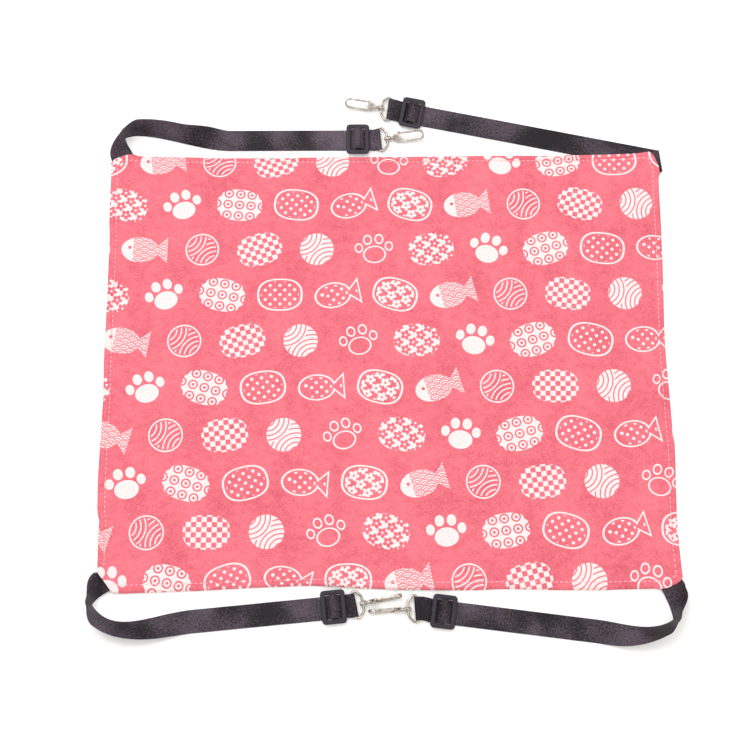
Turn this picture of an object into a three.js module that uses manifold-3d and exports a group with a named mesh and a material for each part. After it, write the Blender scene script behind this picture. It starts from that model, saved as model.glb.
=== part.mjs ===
// Hanging pet hammock, lying flat as it is packed: a padded cloth panel with a webbing strap sewn into
// each cut corner. Each strap folds over, runs to the middle of its long side, and ends in a slider,
// a ring and a swivel snap hook. Millimetres, +Z up, the origin at the middle of the panel's underside.
import * as THREE from 'three';
import Module from 'manifold-3d';
import { mergeVertices } from 'three/addons/utils/BufferGeometryUtils.js';

const wasm = await Module();
wasm.setup();

// Driving dimensions
const panel = { length: 500, width: 400, fleece: 3.2, canvas: 0.6, layerGap: 0.2 };
const thread = { inset: 5, width: 0.8, height: 0.3, lift: 0.05 };
const webbing = { width: 20, thick: 1, tail: 24, clearance: 0.25, cutMargin: 0.55 };
const slider = {
  length: 21, thick: 2.2, endBar: 3.2, midBar: 2, rail: 3.8, play: 0.7, corner: 3.2, slotBend: 0.9,
};
const ring = { wire: 2.2, play: 0.4, depth: 7.8, arm: 3.6, front: 13, bend: 2.2 };
const eye = { outer: 4.6, length: 2.6 };
const stud = { shaft: 2, head: 3.6, headLength: 1.1, headGap: 0.35 };
const hook = {
  length: 32.6, width: 9.4, thick: 3.2, wall: 1.8, base: 10.8, nose: 1.4, collar: 1.3, neck: 5,
};
const gate = {
  pivotBack: 2.6, pivotIn: 2.3, lugRadius: 1.4, width: 1.7, arm: 2.4, tab: 1.1, knob: 1.6, tipGap: 0.35,
};
const pin = { diameter: 1, clearance: 0.25 };
const spring = { wire: 0.25, diameter: 1.2, length: 1.4, turns: 3, along: 1.4 };
const gap = 0.3;
const overrun = 4;

// Each corner: which way it lies from the middle, the turn of its cut, where its strap starts to fold (beyond
// the uncut corner), how its hook's tip reaches past the middle of the long side, how far its slider stands
// off that side, and how the strap then runs. Lengths are in millimetres, turns in degrees. The shares are
// of the hook's length, of the way from the fold to the slider, of the way down to the floor, and of the
// curve down.
const corners = {
  front_left: {
    side: [-1, -1], cutTurn: 49.7, foldPastX: 1.3, foldPastY: 1.4, foldRadius: 6.5, foldIn: 225, axis: 270,
    tipShare: 0.356, standOff: 1, heading: 5.3, straightShare: 0.59, bowShare: 1.08, fanShare: 0.35,
    bank: 36, loop: 17.3, yaw: 5.4, pitch: 4.5, roll: -90,
  },
  front_right: {
    side: [1, -1], cutTurn: 22.3, foldPastX: -4.2, foldPastY: 14.5, foldRadius: 7.5, foldIn: -70,
    axis: -116, tipShare: 0.58, standOff: 5.5, heading: 172.5, straightShare: 0.65, bowShare: 0.93,
    fanShare: 0.45, bank: 36, loop: 22.6, yaw: 11.5, pitch: 4.5, roll: -90,
  },
  back_left: {
    side: [-1, 1], cutTurn: 22.3, foldPastX: -7, foldPastY: 5.8, foldRadius: 7, foldIn: 110, axis: 60,
    tipShare: 1.083, standOff: 0.4, heading: 0, straightShare: 0.54, bowShare: 0.87, fanShare: 0.3,
    bank: 0, loop: 19, yaw: 5.5, pitch: 3.5, roll: -155,
  },
  back_right: {
    side: [1, 1], cutTurn: 67.7, foldPastX: 0.4, foldPastY: -7.2, under: true, foldIn: 24,
    tipShare: 1.19, standOff: 26.5, straightShare: 0.925, bowShare: 1, fanShare: 0.8,
    bank: 0, loop: 20.7, yaw: 3.5, pitch: 3.5, roll: -25,
  },
};

// Heights that follow from the webbing's stack on the floor
const layer = webbing.thick + webbing.clearance;
const lowLayer = webbing.clearance + webbing.thick / 2;
const highLayer = lowLayer + layer;
const ringRadius = ring.wire / 2;
const turnRadius = ringRadius + layer - webbing.thick / 2;
const barHeight = lowLayer + turnRadius;
const sliderBottom = highLayer + webbing.thick / 2 + webbing.clearance;
const sliderMiddle = sliderBottom + slider.thick / 2;
const wrapRadius = Math.hypot(slider.midBar, slider.thick) / 2 + layer - webbing.thick / 2;
const canvasBottom = panel.fleece + panel.layerGap;
const canvasTop = canvasBottom + panel.canvas;
const tailHeight = panel.fleece - webbing.clearance / 2 - webbing.thick / 2;
const recessHeight = lowLayer + webbing.thick / 2 + gap;

// Sizes that follow from the webbing's width, and places along the ring and hook from the ring's bar
const cutLength = webbing.width + 2 * webbing.cutMargin;
const sliderWidth = webbing.width + 2 * (slider.play + slider.rail);
const ringBar = webbing.width + 2 * ring.play + ring.wire;
const eyeStart = ring.depth - ringRadius;
const eyeEnd = eyeStart + eye.length;
const hookStart = eyeEnd + gap;
const pivotX = hook.base - gate.pivotBack;
const pivotY = hook.width / 2 - gate.pivotIn;

const radians = THREE.MathUtils.degToRad;
const up = new THREE.Vector3(0, 0, 1);
const vec = (x, y, z = 0) => new THREE.Vector3(x, y, z);
const headed = (degrees) => vec(Math.cos(radians(degrees)), Math.sin(radians(degrees)));
const smooth = (t) => THREE.MathUtils.smoothstep(t, 0, 1);

// One closed body from rings of points, capped at both ends, or joined end to start when looped.
function skin(rings, looped = false) {
  const sides = rings[0].length;
  const position = rings.flat().flatMap((p) => [p.x, p.y, p.z]);
  const index = [];
  const spans = looped ? rings.length : rings.length - 1;
  for (let i = 0; i < spans; i++) {
    const a = i * sides;
    const b = ((i + 1) % rings.length) * sides;
    for (let j = 0; j < sides; j++) {
      const k = (j + 1) % sides;
      index.push(a + j, a + k, b + k, a + j, b + k, b + j);
    }
  }
  const last = (rings.length - 1) * sides;
  for (let j = 1; !looped && j < sides - 1; j++) {
    index.push(0, j + 1, j, last, last + j, last + j + 1);
  }
  const geometry = new THREE.BufferGeometry();
  geometry.setAttribute('position', new THREE.Float32BufferAttribute(position, 3));
  geometry.setIndex(volume(position, index) < 0 ? index.reverse() : index);
  return geometry;
}

function volume(position, index) {
  const at = (i) => vec(position[3 * i], position[3 * i + 1], position[3 * i + 2]);
  let sum = 0;
  for (let t = 0; t < index.length; t += 3) {
    sum += at(index[t]).dot(at(index[t + 1]).cross(at(index[t + 2])));
  }
  return sum;
}

// Joining and cutting
function solidOf(geometry) {
  const bare = new THREE.BufferGeometry();
  bare.setAttribute('position', geometry.attributes.position);
  bare.setIndex(geometry.index);
  const merged = mergeVertices(bare);
  return new wasm.Manifold(new wasm.Mesh({
    numProp: 3,
    vertProperties: new Float32Array(merged.attributes.position.array),
    triVerts: new Uint32Array(merged.index.array),
  }));
}

function geometryOf(solid) {
  const mesh = solid.getMesh();
  const geometry = new THREE.BufferGeometry();
  geometry.setAttribute('position', new THREE.BufferAttribute(mesh.vertProperties, 3));
  geometry.setIndex(new THREE.BufferAttribute(mesh.triVerts, 1));
  return geometry;
}

// A flat outline given a thickness about its own plane's height
function slab(points, bottom, top, inside = null) {
  const flat = (list) => list.map(([x, y]) => new THREE.Vector2(x, y));
  const shape = new THREE.Shape(flat(points));
  if (inside) shape.holes.push(new THREE.Path(flat(inside)));
  const solid = new THREE.ExtrudeGeometry(shape, { depth: top - bottom, bevelEnabled: false });
  return solid.translate(0, 0, bottom);
}

// A profile of [x, radius] points turned about the X axis
function turned(profile, sides) {
  const points = profile.map(([x, radius]) => new THREE.Vector2(radius, x));
  return new THREE.LatheGeometry(points, sides).rotateZ(-Math.PI / 2);
}

// A round rod along Z
function rod(diameter, length, sides) {
  return new THREE.CylinderGeometry(diameter / 2, diameter / 2, length, sides).rotateX(Math.PI / 2);
}

// Rings of an oval section along a path in the XY plane
function ovalRings(path, halfWidth, halfThick, sides, looped = false) {
  return path.map((point, i) => {
    const before = path[looped ? (i + path.length - 1) % path.length : Math.max(i - 1, 0)];
    const after = path[looped ? (i + 1) % path.length : Math.min(i + 1, path.length - 1)];
    const along = vec(after[0] - before[0], after[1] - before[1]).normalize();
    const side = vec(-along.y, along.x);
    return Array.from({ length: sides }, (_, j) => {
      const turn = (2 * Math.PI * (j + 0.5)) / sides;
      return vec(point[0], point[1])
        .addScaledVector(side, halfWidth * Math.cos(turn))
        .addScaledVector(up, halfThick * Math.sin(turn));
    });
  });
}

// A polygon's corners rounded to one radius, as a list of points
function roundedLoop(points, radius, steps) {
  return points.flatMap((corner, i) => {
    const before = points[(i + points.length - 1) % points.length];
    const after = points[(i + 1) % points.length];
    const here = vec(...corner);
    const toBefore = vec(...before).sub(here).normalize();
    const toAfter = vec(...after).sub(here).normalize();
    const half = toBefore.angleTo(toAfter) / 2;
    const middle = toBefore.clone().add(toAfter).normalize();
    const centre = here.clone().addScaledVector(middle, radius / Math.sin(half));
    const start = here.clone().addScaledVector(toBefore, radius / Math.tan(half)).sub(centre);
    const end = here.clone().addScaledVector(toAfter, radius / Math.tan(half)).sub(centre);
    return Array.from({ length: steps + 1 }, (_, k) => {
      const t = k / steps;
      const spoke = start.clone().lerp(end, t).setLength(radius).add(centre);
      return [spoke.x, spoke.y];
    });
  });
}

// Webbing: a list of places, each with a middle, the direction across it and the direction it faces. A
// slanted place is cut across the webbing at an angle, and is longer for it.
function place(middle, along, roll = 0, slant = 0) {
  const left = vec(-along.y, along.x).normalize().applyAxisAngle(along, roll);
  const face = along.clone().cross(left).normalize();
  const across = left.multiplyScalar(Math.cos(slant)).addScaledVector(along, Math.sin(slant));
  return { middle, across, face, stretch: 1 / Math.cos(slant) };
}

function ribbon(places) {
  return skin(places.map(({ middle, across, face, stretch = 1 }) => [[1, 1], [-1, 1], [-1, -1], [1, -1]].map(
    ([a, f]) => middle.clone()
      .addScaledVector(across, (a * stretch * webbing.width) / 2)
      .addScaledVector(face, (f * webbing.thick) / 2),
  )));
}

// How a strap that heads one way lies across the axis that it folds round
function lie(into, axis) {
  const lean = into.dot(axis);
  const outward = into.clone().addScaledVector(axis, -lean).normalize();
  return { lean, outward, steep: into.dot(outward) };
}

// An under strap heads straight for its slider from the end of its fold. The fold's axis lies halfway between
// the strap's two ways, and moves the end of the fold, so both are settled in a few rounds.
function settled(corner, start, middle, radius) {
  let { heading, axis } = corner;
  let end = start.clone();
  for (let round = 0; corner.under && round < 4; round++) {
    const way = middle.clone().sub(end);
    heading = THREE.MathUtils.radToDeg(Math.atan2(way.y, way.x));
    axis = (heading + corner.foldIn) / 2;
    const { lean, steep } = lie(headed(corner.foldIn), headed(axis));
    end = start.clone().addScaledVector(headed(axis), (Math.PI * radius * lean) / steep);
  }
  return { heading, axis };
}

// A corner's own sizes in the part's frame
function measure(corner) {
  const [sx, sy] = corner.side;
  const tip = vec((sx * panel.length) / 2, (sy * panel.width) / 2);
  const legs = [cutLength * Math.cos(radians(corner.cutTurn)), cutLength * Math.sin(radians(corner.cutTurn))];
  const cutMiddle = tip.clone().add(vec((-sx * legs[0]) / 2, (-sy * legs[1]) / 2));
  const out = vec(sx * legs[1], sy * legs[0]).normalize();
  const start = tip.clone().add(vec(sx * corner.foldPastX, sy * corner.foldPastY, tailHeight));
  const reach = corner.loop + hookStart + (1 - corner.tipShare) * hook.length;
  const middle = vec(sx * reach, sy * ((panel.width + sliderWidth) / 2 + corner.standOff));
  const lift = corner.under ? -1 : 1;
  const radius = corner.under ? (tailHeight - lowLayer) / 2 : corner.foldRadius;
  const turns = settled(corner, start, middle, radius);
  const heading = headed(turns.heading);
  const axis = headed(turns.axis);
  const into = headed(corner.foldIn);
  const { lean, outward, steep } = lie(into, axis);
  const advance = (Math.PI * radius * lean) / steep;
  const back = axis.clone().multiplyScalar(lean).addScaledVector(outward, -steep);
  const left = vec(-into.y, into.x);
  const line = axis.clone().multiplyScalar(Math.sign(left.dot(axis)));
  const slant = Math.atan2(line.dot(into), line.dot(left));
  const straight = corner.straightShare * middle.clone().sub(start).setZ(0).length();
  return {
    legs, cutMiddle, out, start, middle, headingTurn: turns.heading, heading, axis, lift, radius, into,
    outward, steep, advance, back, line, slant, straight,
  };
}

// The half turn of a strap round its fold's axis, from 0 to 1. It lies on a round of the fold's radius, so
// each straight line across it runs along the axis.
function foldPlace(m, t) {
  const turn = Math.PI * t;
  const middle = m.start.clone()
    .addScaledVector(m.outward, m.radius * Math.sin(turn))
    .addScaledVector(m.axis, m.advance * t)
    .addScaledVector(up, m.lift * m.radius * (1 - Math.cos(turn)));
  const face = m.outward.clone().multiplyScalar(-m.lift * Math.sin(turn)).addScaledVector(up, Math.cos(turn));
  return { middle, across: m.line.clone(), face, stretch: 1 / m.steep };
}

// A smooth curve between two places with given directions
function bridge(from, fromWay, to, toWay, t) {
  const squared = t * t;
  const cubed = squared * t;
  const point = from.clone().multiplyScalar(2 * cubed - 3 * squared + 1)
    .addScaledVector(fromWay, cubed - 2 * squared + t)
    .addScaledVector(to, 3 * squared - 2 * cubed)
    .addScaledVector(toWay, cubed - squared);
  const way = from.clone().multiplyScalar(6 * squared - 6 * t)
    .addScaledVector(fromWay, 3 * squared - 4 * t + 1)
    .addScaledVector(to, 6 * t - 6 * squared)
    .addScaledVector(toWay, 3 * squared - 2 * t);
  return { point, way };
}

// The strap from inside the panel to the end of its fold
function strapFold(m, corner) {
  const mouth = m.cutMiddle.clone().setZ(tailHeight);
  const free = mouth.distanceTo(m.start);
  const places = [place(mouth.clone().addScaledVector(m.out, -webbing.tail), m.out)];
  const steps = 5;
  const turns = corner.under ? 8 : 12;
  for (let i = 0; i < steps; i++) {
    const t = i / steps;
    const { point, way } = bridge(
      mouth, m.out.clone().multiplyScalar(free), m.start, m.into.clone().multiplyScalar(free), t,
    );
    places.push(place(point, way.normalize(), 0, m.slant * t));
  }
  for (let i = 0; i <= turns; i++) places.push(foldPlace(m, i / turns));
  return ribbon(places);
}

// The strap from its fold down to the floor and straight on to the slider
function runPlaces(m, corner) {
  const first = foldPlace(m, 1).middle.addScaledVector(m.back, gap / m.steep);
  const landing = m.middle.clone().addScaledVector(m.heading, -m.straight).setZ(lowLayer);
  const bow = corner.bowShare * landing.clone().sub(first).setZ(0).length();
  const drop = first.z - lowLayer;
  const places = [];
  const steps = 16;
  const height = (t) => lowLayer + drop * (1 - smooth(t));
  for (let i = 0; i <= steps; i++) {
    const t = i / steps;
    const { point, way } = bridge(
      first, m.back.clone().multiplyScalar(bow), landing, m.heading.clone().multiplyScalar(bow), t,
    );
    point.setZ(height(t));
    const slope = (height(Math.min(t + 1 / steps, 1)) - height(Math.max(t - 1 / steps, 0))) * (steps / 2);
    way.setZ(t === 0 || t === 1 ? 0 : slope).normalize();
    const wanted = Math.sin(radians(corner.bank)) * Math.sin(Math.PI * t) ** 2;
    const most = (point.z - lowLayer) / (webbing.width / 2);
    const side = Math.sign(m.heading.x);
    const slant = -m.slant * Math.max(1 - t / corner.fanShare, 0);
    places.push(place(point, way, -side * Math.asin(Math.min(wanted, most, 1)), slant));
  }
  const end = m.middle.clone().addScaledVector(m.heading, -slider.length / 2 - 2 * gap - webbing.thick);
  places.push(place(end.setZ(lowLayer), m.heading));
  return places;
}

// The webbing over the slider's middle bar, as [x, z] in the slider's frame: under the first end bar, up and
// over the middle bar on top of the layer that is sewn round it, and down under the last end bar.
const climbShares = [0.95, 0.81, 0.67, 0.53, 0.39, 0.25, 0.11];

function overSlider() {
  const inner = slider.length / 2 - slider.endBar;
  const crest = wrapRadius + layer;
  const start = -slider.length / 2 - gap - webbing.thick;
  const climb = climbShares.map((share) => {
    const turn = Math.PI * share;
    return [crest * Math.cos(turn), sliderMiddle + crest * Math.sin(turn)];
  });
  return [
    [start, lowLayer],
    [-inner - slider.endBar / 2, (lowLayer + highLayer) / 2],
    [-inner, highLayer - gap / 2],
    ...climb,
    [(inner + crest) / 2, (sliderMiddle + sliderBottom) / 2],
    [inner - gap, highLayer + gap / 2],
    [inner + slider.endBar / 2, highLayer],
    [slider.length / 2, highLayer],
  ];
}

// The strap's end, round the middle bar from below
function roundMiddleBar() {
  const steps = 7;
  const wrap = Array.from({ length: steps + 1 }, (_, i) => {
    const turn = -Math.PI / 2 - (Math.PI * i) / steps;
    return [wrapRadius * Math.cos(turn), sliderMiddle + wrapRadius * Math.sin(turn)];
  });
  return [[slider.length / 2, lowLayer], [2 * wrapRadius, lowLayer], ...wrap];
}

// A place in the slider's frame that turns to the ring's frame as it nears the ring's bar
function loopMix(corner, x, z, fromBar) {
  const reach = corner.loop - turnRadius - slider.length / 2;
  const share = fromBar ? 1 : smooth((x - slider.length / 2) / reach);
  const yawed = headed(corner.yaw);
  const plain = vec(x, 0, z);
  const atBar = vec(corner.loop, 0, z).addScaledVector(yawed, x - corner.loop);
  const across = vec(0, 1).lerp(vec(-yawed.y, yawed.x), share).normalize();
  return { middle: plain.lerp(atBar, share), across };
}

function strapLoop(corner) {
  const steps = 8;
  const turn = Array.from({ length: steps + 1 }, (_, i) => {
    const angle = Math.PI / 2 - (Math.PI * i) / steps;
    return [corner.loop + turnRadius * Math.cos(angle), barHeight + turnRadius * Math.sin(angle), true];
  });
  const ease = corner.loop - turnRadius;
  const half = (slider.length / 2 + ease) / 2;
  const out = [[half, (highLayer + barHeight + turnRadius) / 2 - webbing.clearance]];
  const back = [[ease, lowLayer], [half, lowLayer]];
  const path = [...overSlider(), ...out, ...turn, ...back, ...roundMiddleBar()];
  const stops = path.map(([x, z, fromBar]) => loopMix(corner, x, z, fromBar));
  return ribbon(stops.map(({ middle, across }, i) => {
    const before = stops[Math.max(i - 1, 0)].middle;
    const after = stops[Math.min(i + 1, stops.length - 1)].middle;
    const face = after.clone().sub(before).cross(across).normalize();
    return { middle, across, face };
  }));
}

// The panel's outline with its four corners cut, drawn in by an inset
function outline(inset) {
  const order = ['front_left', 'front_right', 'back_right', 'back_left'];
  return order.flatMap((name, i) => {
    const [sx, sy] = corners[name].side;
    const [cx, cy] = measured[name].legs;
    const x = sx * (panel.length / 2 - inset);
    const y = sy * (panel.width / 2 - inset);
    const legX = cx - inset * ((cx + cy - cutLength) / cy);
    const legY = cy - inset * ((cx + cy - cutLength) / cx);
    const onLong = [x - sx * legX, y];
    const onShort = [x, y - sy * legY];
    return i % 2 === 0 ? [onShort, onLong] : [onLong, onShort];
  });
}

// A block under or over a strap, where the cloth gives way to it
function channel(from, way, length, bottom, top) {
  const side = vec(-way.y, way.x).multiplyScalar(webbing.width / 2 + gap);
  const to = from.clone().addScaledVector(way, length);
  const ends = [[from, 1], [from, -1], [to, -1], [to, 1]];
  const points = ends.map(([end, sign]) => end.clone().addScaledVector(side, sign));
  return solidOf(slab(points.map((p) => [p.x, p.y]), bottom, top));
}

function backFleece() {
  let body = solidOf(slab(outline(0), 0, panel.fleece));
  const pocket = tailHeight - webbing.thick / 2 - gap;
  for (const [name, m] of Object.entries(measured)) {
    const inner = m.cutMiddle.clone().addScaledVector(m.out, -webbing.tail - gap);
    body = body.subtract(channel(inner, m.out, webbing.tail + overrun, pocket, panel.fleece + overrun));
    if (corners[name].under) {
      const fold = foldPlace(m, 1).middle.setZ(0);
      const way = m.middle.clone().sub(fold).normalize();
      const from = fold.clone().addScaledVector(way, -overrun);
      body = body.subtract(channel(from, way, m.straight, -overrun, recessHeight));
    }
  }
  return geometryOf(body);
}

function frontCanvas() {
  return slab(outline(0), canvasBottom, canvasTop);
}

function topstitch() {
  const bottom = canvasTop + thread.lift;
  return slab(outline(thread.inset), bottom, bottom + thread.height, outline(thread.inset + thread.width));
}

// The three-bar slider, flat, with its middle bar on the Y axis
function sliderBody() {
  const top = sliderBottom + slider.thick;
  const slotLength = (slider.length - 2 * slider.endBar - slider.midBar) / 2;
  const slotAt = (slider.midBar + slotLength) / 2;
  const box = (length, width, corner, steps) => roundedLoop(
    [[-length, -width], [length, -width], [length, width], [-length, width]].map(([x, y]) => [x / 2, y / 2]),
    corner, steps,
  );
  const frame = solidOf(slab(box(slider.length, sliderWidth, slider.corner, 4), sliderBottom, top));
  const slot = slab(
    box(slotLength, sliderWidth - 2 * slider.rail, slider.slotBend, 2), sliderBottom - overrun, top + overrun,
  );
  const near = solidOf(slot.clone().translate(-slotAt, 0, 0));
  const far = solidOf(slot.clone().translate(slotAt, 0, 0));
  return geometryOf(frame.subtract(near).subtract(far));
}

// The ring: a flat bar for the webbing, two arms, and an eye on the X axis for the hook's stud
function hookRing() {
  const half = ringBar / 2;
  const side = [[0, half], [ring.arm, half], [ring.depth, ring.front / 2]];
  const mirrored = side.map(([x, y]) => [x, -y]);
  const path = roundedLoop([...mirrored, ...side.reverse()], ring.bend, 3);
  const wire = solidOf(skin(ovalRings(path, ringRadius, ringRadius, 8, true), true));
  const round = (from, to, radius) => solidOf(turned([[from, 0], [from, radius], [to, radius], [to, 0]], 14));
  const collar = round(eyeStart, eyeEnd, eye.outer / 2);
  const hole = round(eyeStart - ringRadius, eyeEnd + overrun, stud.shaft / 2 + gap);
  return geometryOf(wire.add(collar).subtract(hole));
}

// The hook along X from the ring's eye: stud, barrel, cheeks for the gate, and the claw. Its gate is on -Y.
// The cheeks' outline is in shares of the base's length and of half the hook's width.
const clawRadius = (hook.width - hook.wall) / 2;
const crown = hook.length - clawRadius - hook.wall / 2;
const slotHalf = gate.tab / 2 + gap;
const neckShare = 0.9;
const cheekShares = [
  [0.38, -0.48], [0.5, -0.72], [0.7, -0.82], [0.92, -0.82], [1, -0.64], [1, 0.32], [1.16, 0.56], [1.16, 1],
  [0.8, 0.94], [0.5, 0.7], [0.38, 0.48],
];

// Where the gate's spring stands: between the gate's tab and the floor of the slot
const springBottom = -pivotY + gate.lugRadius + gap;
const springTop = springBottom + spring.length + gap;

function hookBody() {
  const headEnd = eyeStart - stud.headGap;
  const neck = stud.shaft / 2;
  const half = hook.width / 2;
  const barrel = solidOf(turned([
    [headEnd - stud.headLength, 0], [headEnd - stud.headLength, stud.head / 2], [headEnd, stud.head / 2],
    [headEnd, neck], [hookStart, neck], [hookStart, eye.outer / 2], [hookStart + hook.collar, eye.outer / 2],
    [hookStart + 2 * hook.collar, (neckShare * hook.thick) / 2], [hookStart + hook.neck, hook.thick / 2],
    [hookStart + hook.neck, 0],
  ], 14));
  const cheeks = cheekShares.map(([x, y]) => [hookStart + x * hook.base, y * half]);
  const plate = solidOf(slab(cheeks, -hook.thick / 2, hook.thick / 2));
  const steps = 8;
  const arc = Array.from({ length: steps + 1 }, (_, i) => {
    const turn = Math.PI / 2 - (Math.PI * i) / steps;
    return [hookStart + crown + clawRadius * Math.cos(turn), clawRadius * Math.sin(turn)];
  });
  const path = [[hookStart + hook.base, clawRadius], ...arc, [hookStart + crown - hook.nose, -clawRadius]];
  const claw = solidOf(skin(ovalRings(path, hook.wall / 2, hook.thick / 2, 8)));
  const slotStart = pivotX - gate.lugRadius - 2 * gap;
  const slot = solidOf(slab([
    [slotStart, -half - overrun], [hook.base + overrun, -half - overrun],
    [hook.base + overrun, gate.lugRadius / 2], [hook.base - gap, springTop], [pivotX, springTop], [slotStart, 0],
  ], -slotHalf, slotHalf).translate(hookStart, 0, 0));
  const hole = solidOf(rod(pin.diameter + 2 * pin.clearance, hook.thick + overrun, 10)
    .translate(hookStart + pivotX, -pivotY, 0));
  return geometryOf(barrel.add(plate).add(claw).subtract(slot).subtract(hole));
}

// The gate, about its own pivot: a thin tab with a thumb knob between the cheeks, and a thick arm. The tab's
// outline is in shares of the lug's radius along X and Y, and of the knob's height.
const knobShares = [[-1, 0, 0], [-0.7, -0.7, 0], [0, -1, 0], [0.4, -1, -1], [1.5, -1, -1], [2, -1, -0.5]];
const lugShares = [[1.4, 1], [0, 1], [-0.7, 0.7]];
const rootShare = 2.4;

function gateBody() {
  const line = pivotY - clawRadius;
  const root = rootShare * gate.lugRadius;
  const tab = solidOf(slab([
    ...knobShares.map(([x, y, knob]) => [x * gate.lugRadius, y * gate.lugRadius + knob * gate.knob]),
    [root, line - gate.width / 2], [root, line + gate.width / 2],
    ...lugShares.map(([x, y]) => [x * gate.lugRadius, y * gate.lugRadius]),
  ], -gate.tab / 2, gate.tab / 2));
  const path = [[gate.pivotBack + 2 * gap, line], [crown - hook.nose - gate.tipGap - pivotX, line]];
  const arm = solidOf(skin(ovalRings(path, gate.width / 2, gate.arm / 2, 8)));
  const hole = solidOf(rod(pin.diameter + 2 * pin.clearance, gate.arm + overrun, 10));
  return geometryOf(tab.add(arm).subtract(hole));
}

function gatePin() {
  return rod(pin.diameter, hook.thick, 8);
}

// A small coil along Y between the tab and the slot's floor
function gateSpring() {
  const radius = (spring.diameter - spring.wire) / 2;
  const rise = spring.length - spring.wire;
  const perTurn = 8;
  const steps = spring.turns * perTurn;
  const sides = 5;
  const rings = Array.from({ length: steps + 1 }, (_, i) => {
    const turn = (2 * Math.PI * i) / perTurn;
    const spoke = vec(Math.cos(turn), 0, Math.sin(turn));
    const middle = spoke.clone().multiplyScalar(radius).setY(spring.wire / 2 + (rise * i) / steps);
    return Array.from({ length: sides }, (_, j) => {
      const around = (2 * Math.PI * j) / sides;
      return middle.clone()
        .addScaledVector(spoke, (spring.wire / 2) * Math.cos(around))
        .addScaledVector(vec(0, 1), (spring.wire / 2) * Math.sin(around));
    });
  });
  return skin(rings);
}

const finishes = {
  canvas: { color: 0xf4707f, roughness: 0.85, metalness: 0 },
  fleece: { color: 0xf3ece6, roughness: 0.95, metalness: 0 },
  thread: { color: 0xf9a8b4, roughness: 0.7, metalness: 0 },
  webbing: { color: 0x1e1a1f, roughness: 0.8, metalness: 0 },
  plastic: { color: 0x232127, roughness: 0.5, metalness: 0 },
  nickel: { color: 0xcfcbc4, roughness: 0.25, metalness: 1 },
  steel: { color: 0x9a9a9a, roughness: 0.4, metalness: 1 },
};

function piece(name, geometry, finish) {
  const mesh = new THREE.Mesh(geometry, new THREE.MeshStandardMaterial(finishes[finish]));
  mesh.name = name;
  return mesh;
}

// A group moved along X and Y and turned about Z
function frameAt(position, degrees) {
  const group = new THREE.Group();
  group.position.copy(position);
  group.rotation.z = radians(degrees);
  return group;
}

function cornerSet(name, corner, m) {
  const set = new THREE.Group();
  set.add(piece(`${name}_strap_fold`, strapFold(m, corner), 'webbing'));
  set.add(piece(`${name}_strap_run`, ribbon(runPlaces(m, corner)), 'webbing'));
  const end = frameAt(m.middle, m.headingTurn);
  end.add(piece(`${name}_strap_loop`, strapLoop(corner), 'webbing'));
  end.add(piece(`${name}_slider`, sliderBody(), 'plastic'));
  const yawed = frameAt(vec(corner.loop, 0, barHeight), corner.yaw);
  const pitched = new THREE.Group();
  pitched.rotation.y = radians(-corner.pitch);
  pitched.add(piece(`${name}_hook_ring`, hookRing(), 'nickel'));
  const rolled = new THREE.Group();
  rolled.rotation.x = radians(corner.roll);
  rolled.add(piece(`${name}_hook_body`, hookBody(), 'nickel'));
  const pivot = vec(hookStart + pivotX, -pivotY, 0);
  const swing = piece(`${name}_hook_gate`, gateBody(), 'nickel');
  swing.position.copy(pivot);
  const rivet = piece(`${name}_gate_pin`, gatePin(), 'steel');
  rivet.position.copy(pivot);
  const coil = piece(`${name}_gate_spring`, gateSpring(), 'steel');
  coil.position.set(hookStart + pivotX + spring.along, springBottom, 0);
  rolled.add(swing, rivet, coil);
  pitched.add(rolled);
  yawed.add(pitched);
  end.add(yawed);
  set.add(end);
  return set;
}

const measured = Object.fromEntries(Object.entries(corners).map(([name, corner]) => [name, measure(corner)]));
const hammock = new THREE.Group();
hammock.add(piece('back_fleece', backFleece(), 'fleece'));
hammock.add(piece('front_canvas', frontCanvas(), 'canvas'));
hammock.add(piece('topstitch', topstitch(), 'thread'));
for (const [name, corner] of Object.entries(corners)) {
  hammock.add(cornerSet(name, corner, measured[name]));
}

export default hammock;
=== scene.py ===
# Hanging pet hammock, laid flat: a printed cloth over fleece, with a webbing strap at each cut corner that
# ends in a slider, a ring and a swivel snap hook. Shapes are worked out in millimetres and placed in metres.
import math
from functools import partial
import bpy
import numpy as np
from mathutils import Matrix


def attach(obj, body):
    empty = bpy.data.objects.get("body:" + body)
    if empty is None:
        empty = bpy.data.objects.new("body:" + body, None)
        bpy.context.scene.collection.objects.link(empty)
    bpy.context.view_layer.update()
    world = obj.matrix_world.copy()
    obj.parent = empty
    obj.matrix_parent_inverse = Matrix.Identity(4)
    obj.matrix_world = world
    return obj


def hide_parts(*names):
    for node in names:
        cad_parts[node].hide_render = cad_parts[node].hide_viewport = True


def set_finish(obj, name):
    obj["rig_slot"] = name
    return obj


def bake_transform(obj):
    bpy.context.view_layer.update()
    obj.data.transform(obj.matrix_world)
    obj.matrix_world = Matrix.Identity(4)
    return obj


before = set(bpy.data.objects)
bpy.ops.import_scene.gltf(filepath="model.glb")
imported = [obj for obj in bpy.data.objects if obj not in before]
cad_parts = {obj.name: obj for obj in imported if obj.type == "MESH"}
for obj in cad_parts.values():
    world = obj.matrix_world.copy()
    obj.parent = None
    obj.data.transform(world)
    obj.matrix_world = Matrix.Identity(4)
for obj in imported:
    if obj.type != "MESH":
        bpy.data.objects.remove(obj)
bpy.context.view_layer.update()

mm = 0.001
up = np.array([0.0, 0.0, 1.0])
level = np.array([1.0, 1.0, 0.0])
rng = np.random.default_rng(11)

# Camera: it looks down from in front, as the photograph does, and its shift is in pixels of the picture
camera = {
    "lens": 84.336, "sensor": 36.0, "distance": 1555.96, "tilt": 16.5307, "yaw": 2.325, "roll": -1.956,
    "shift": (-12.869, -10.424), "picture": 750, "clip": (0.05, 20),
}


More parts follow.
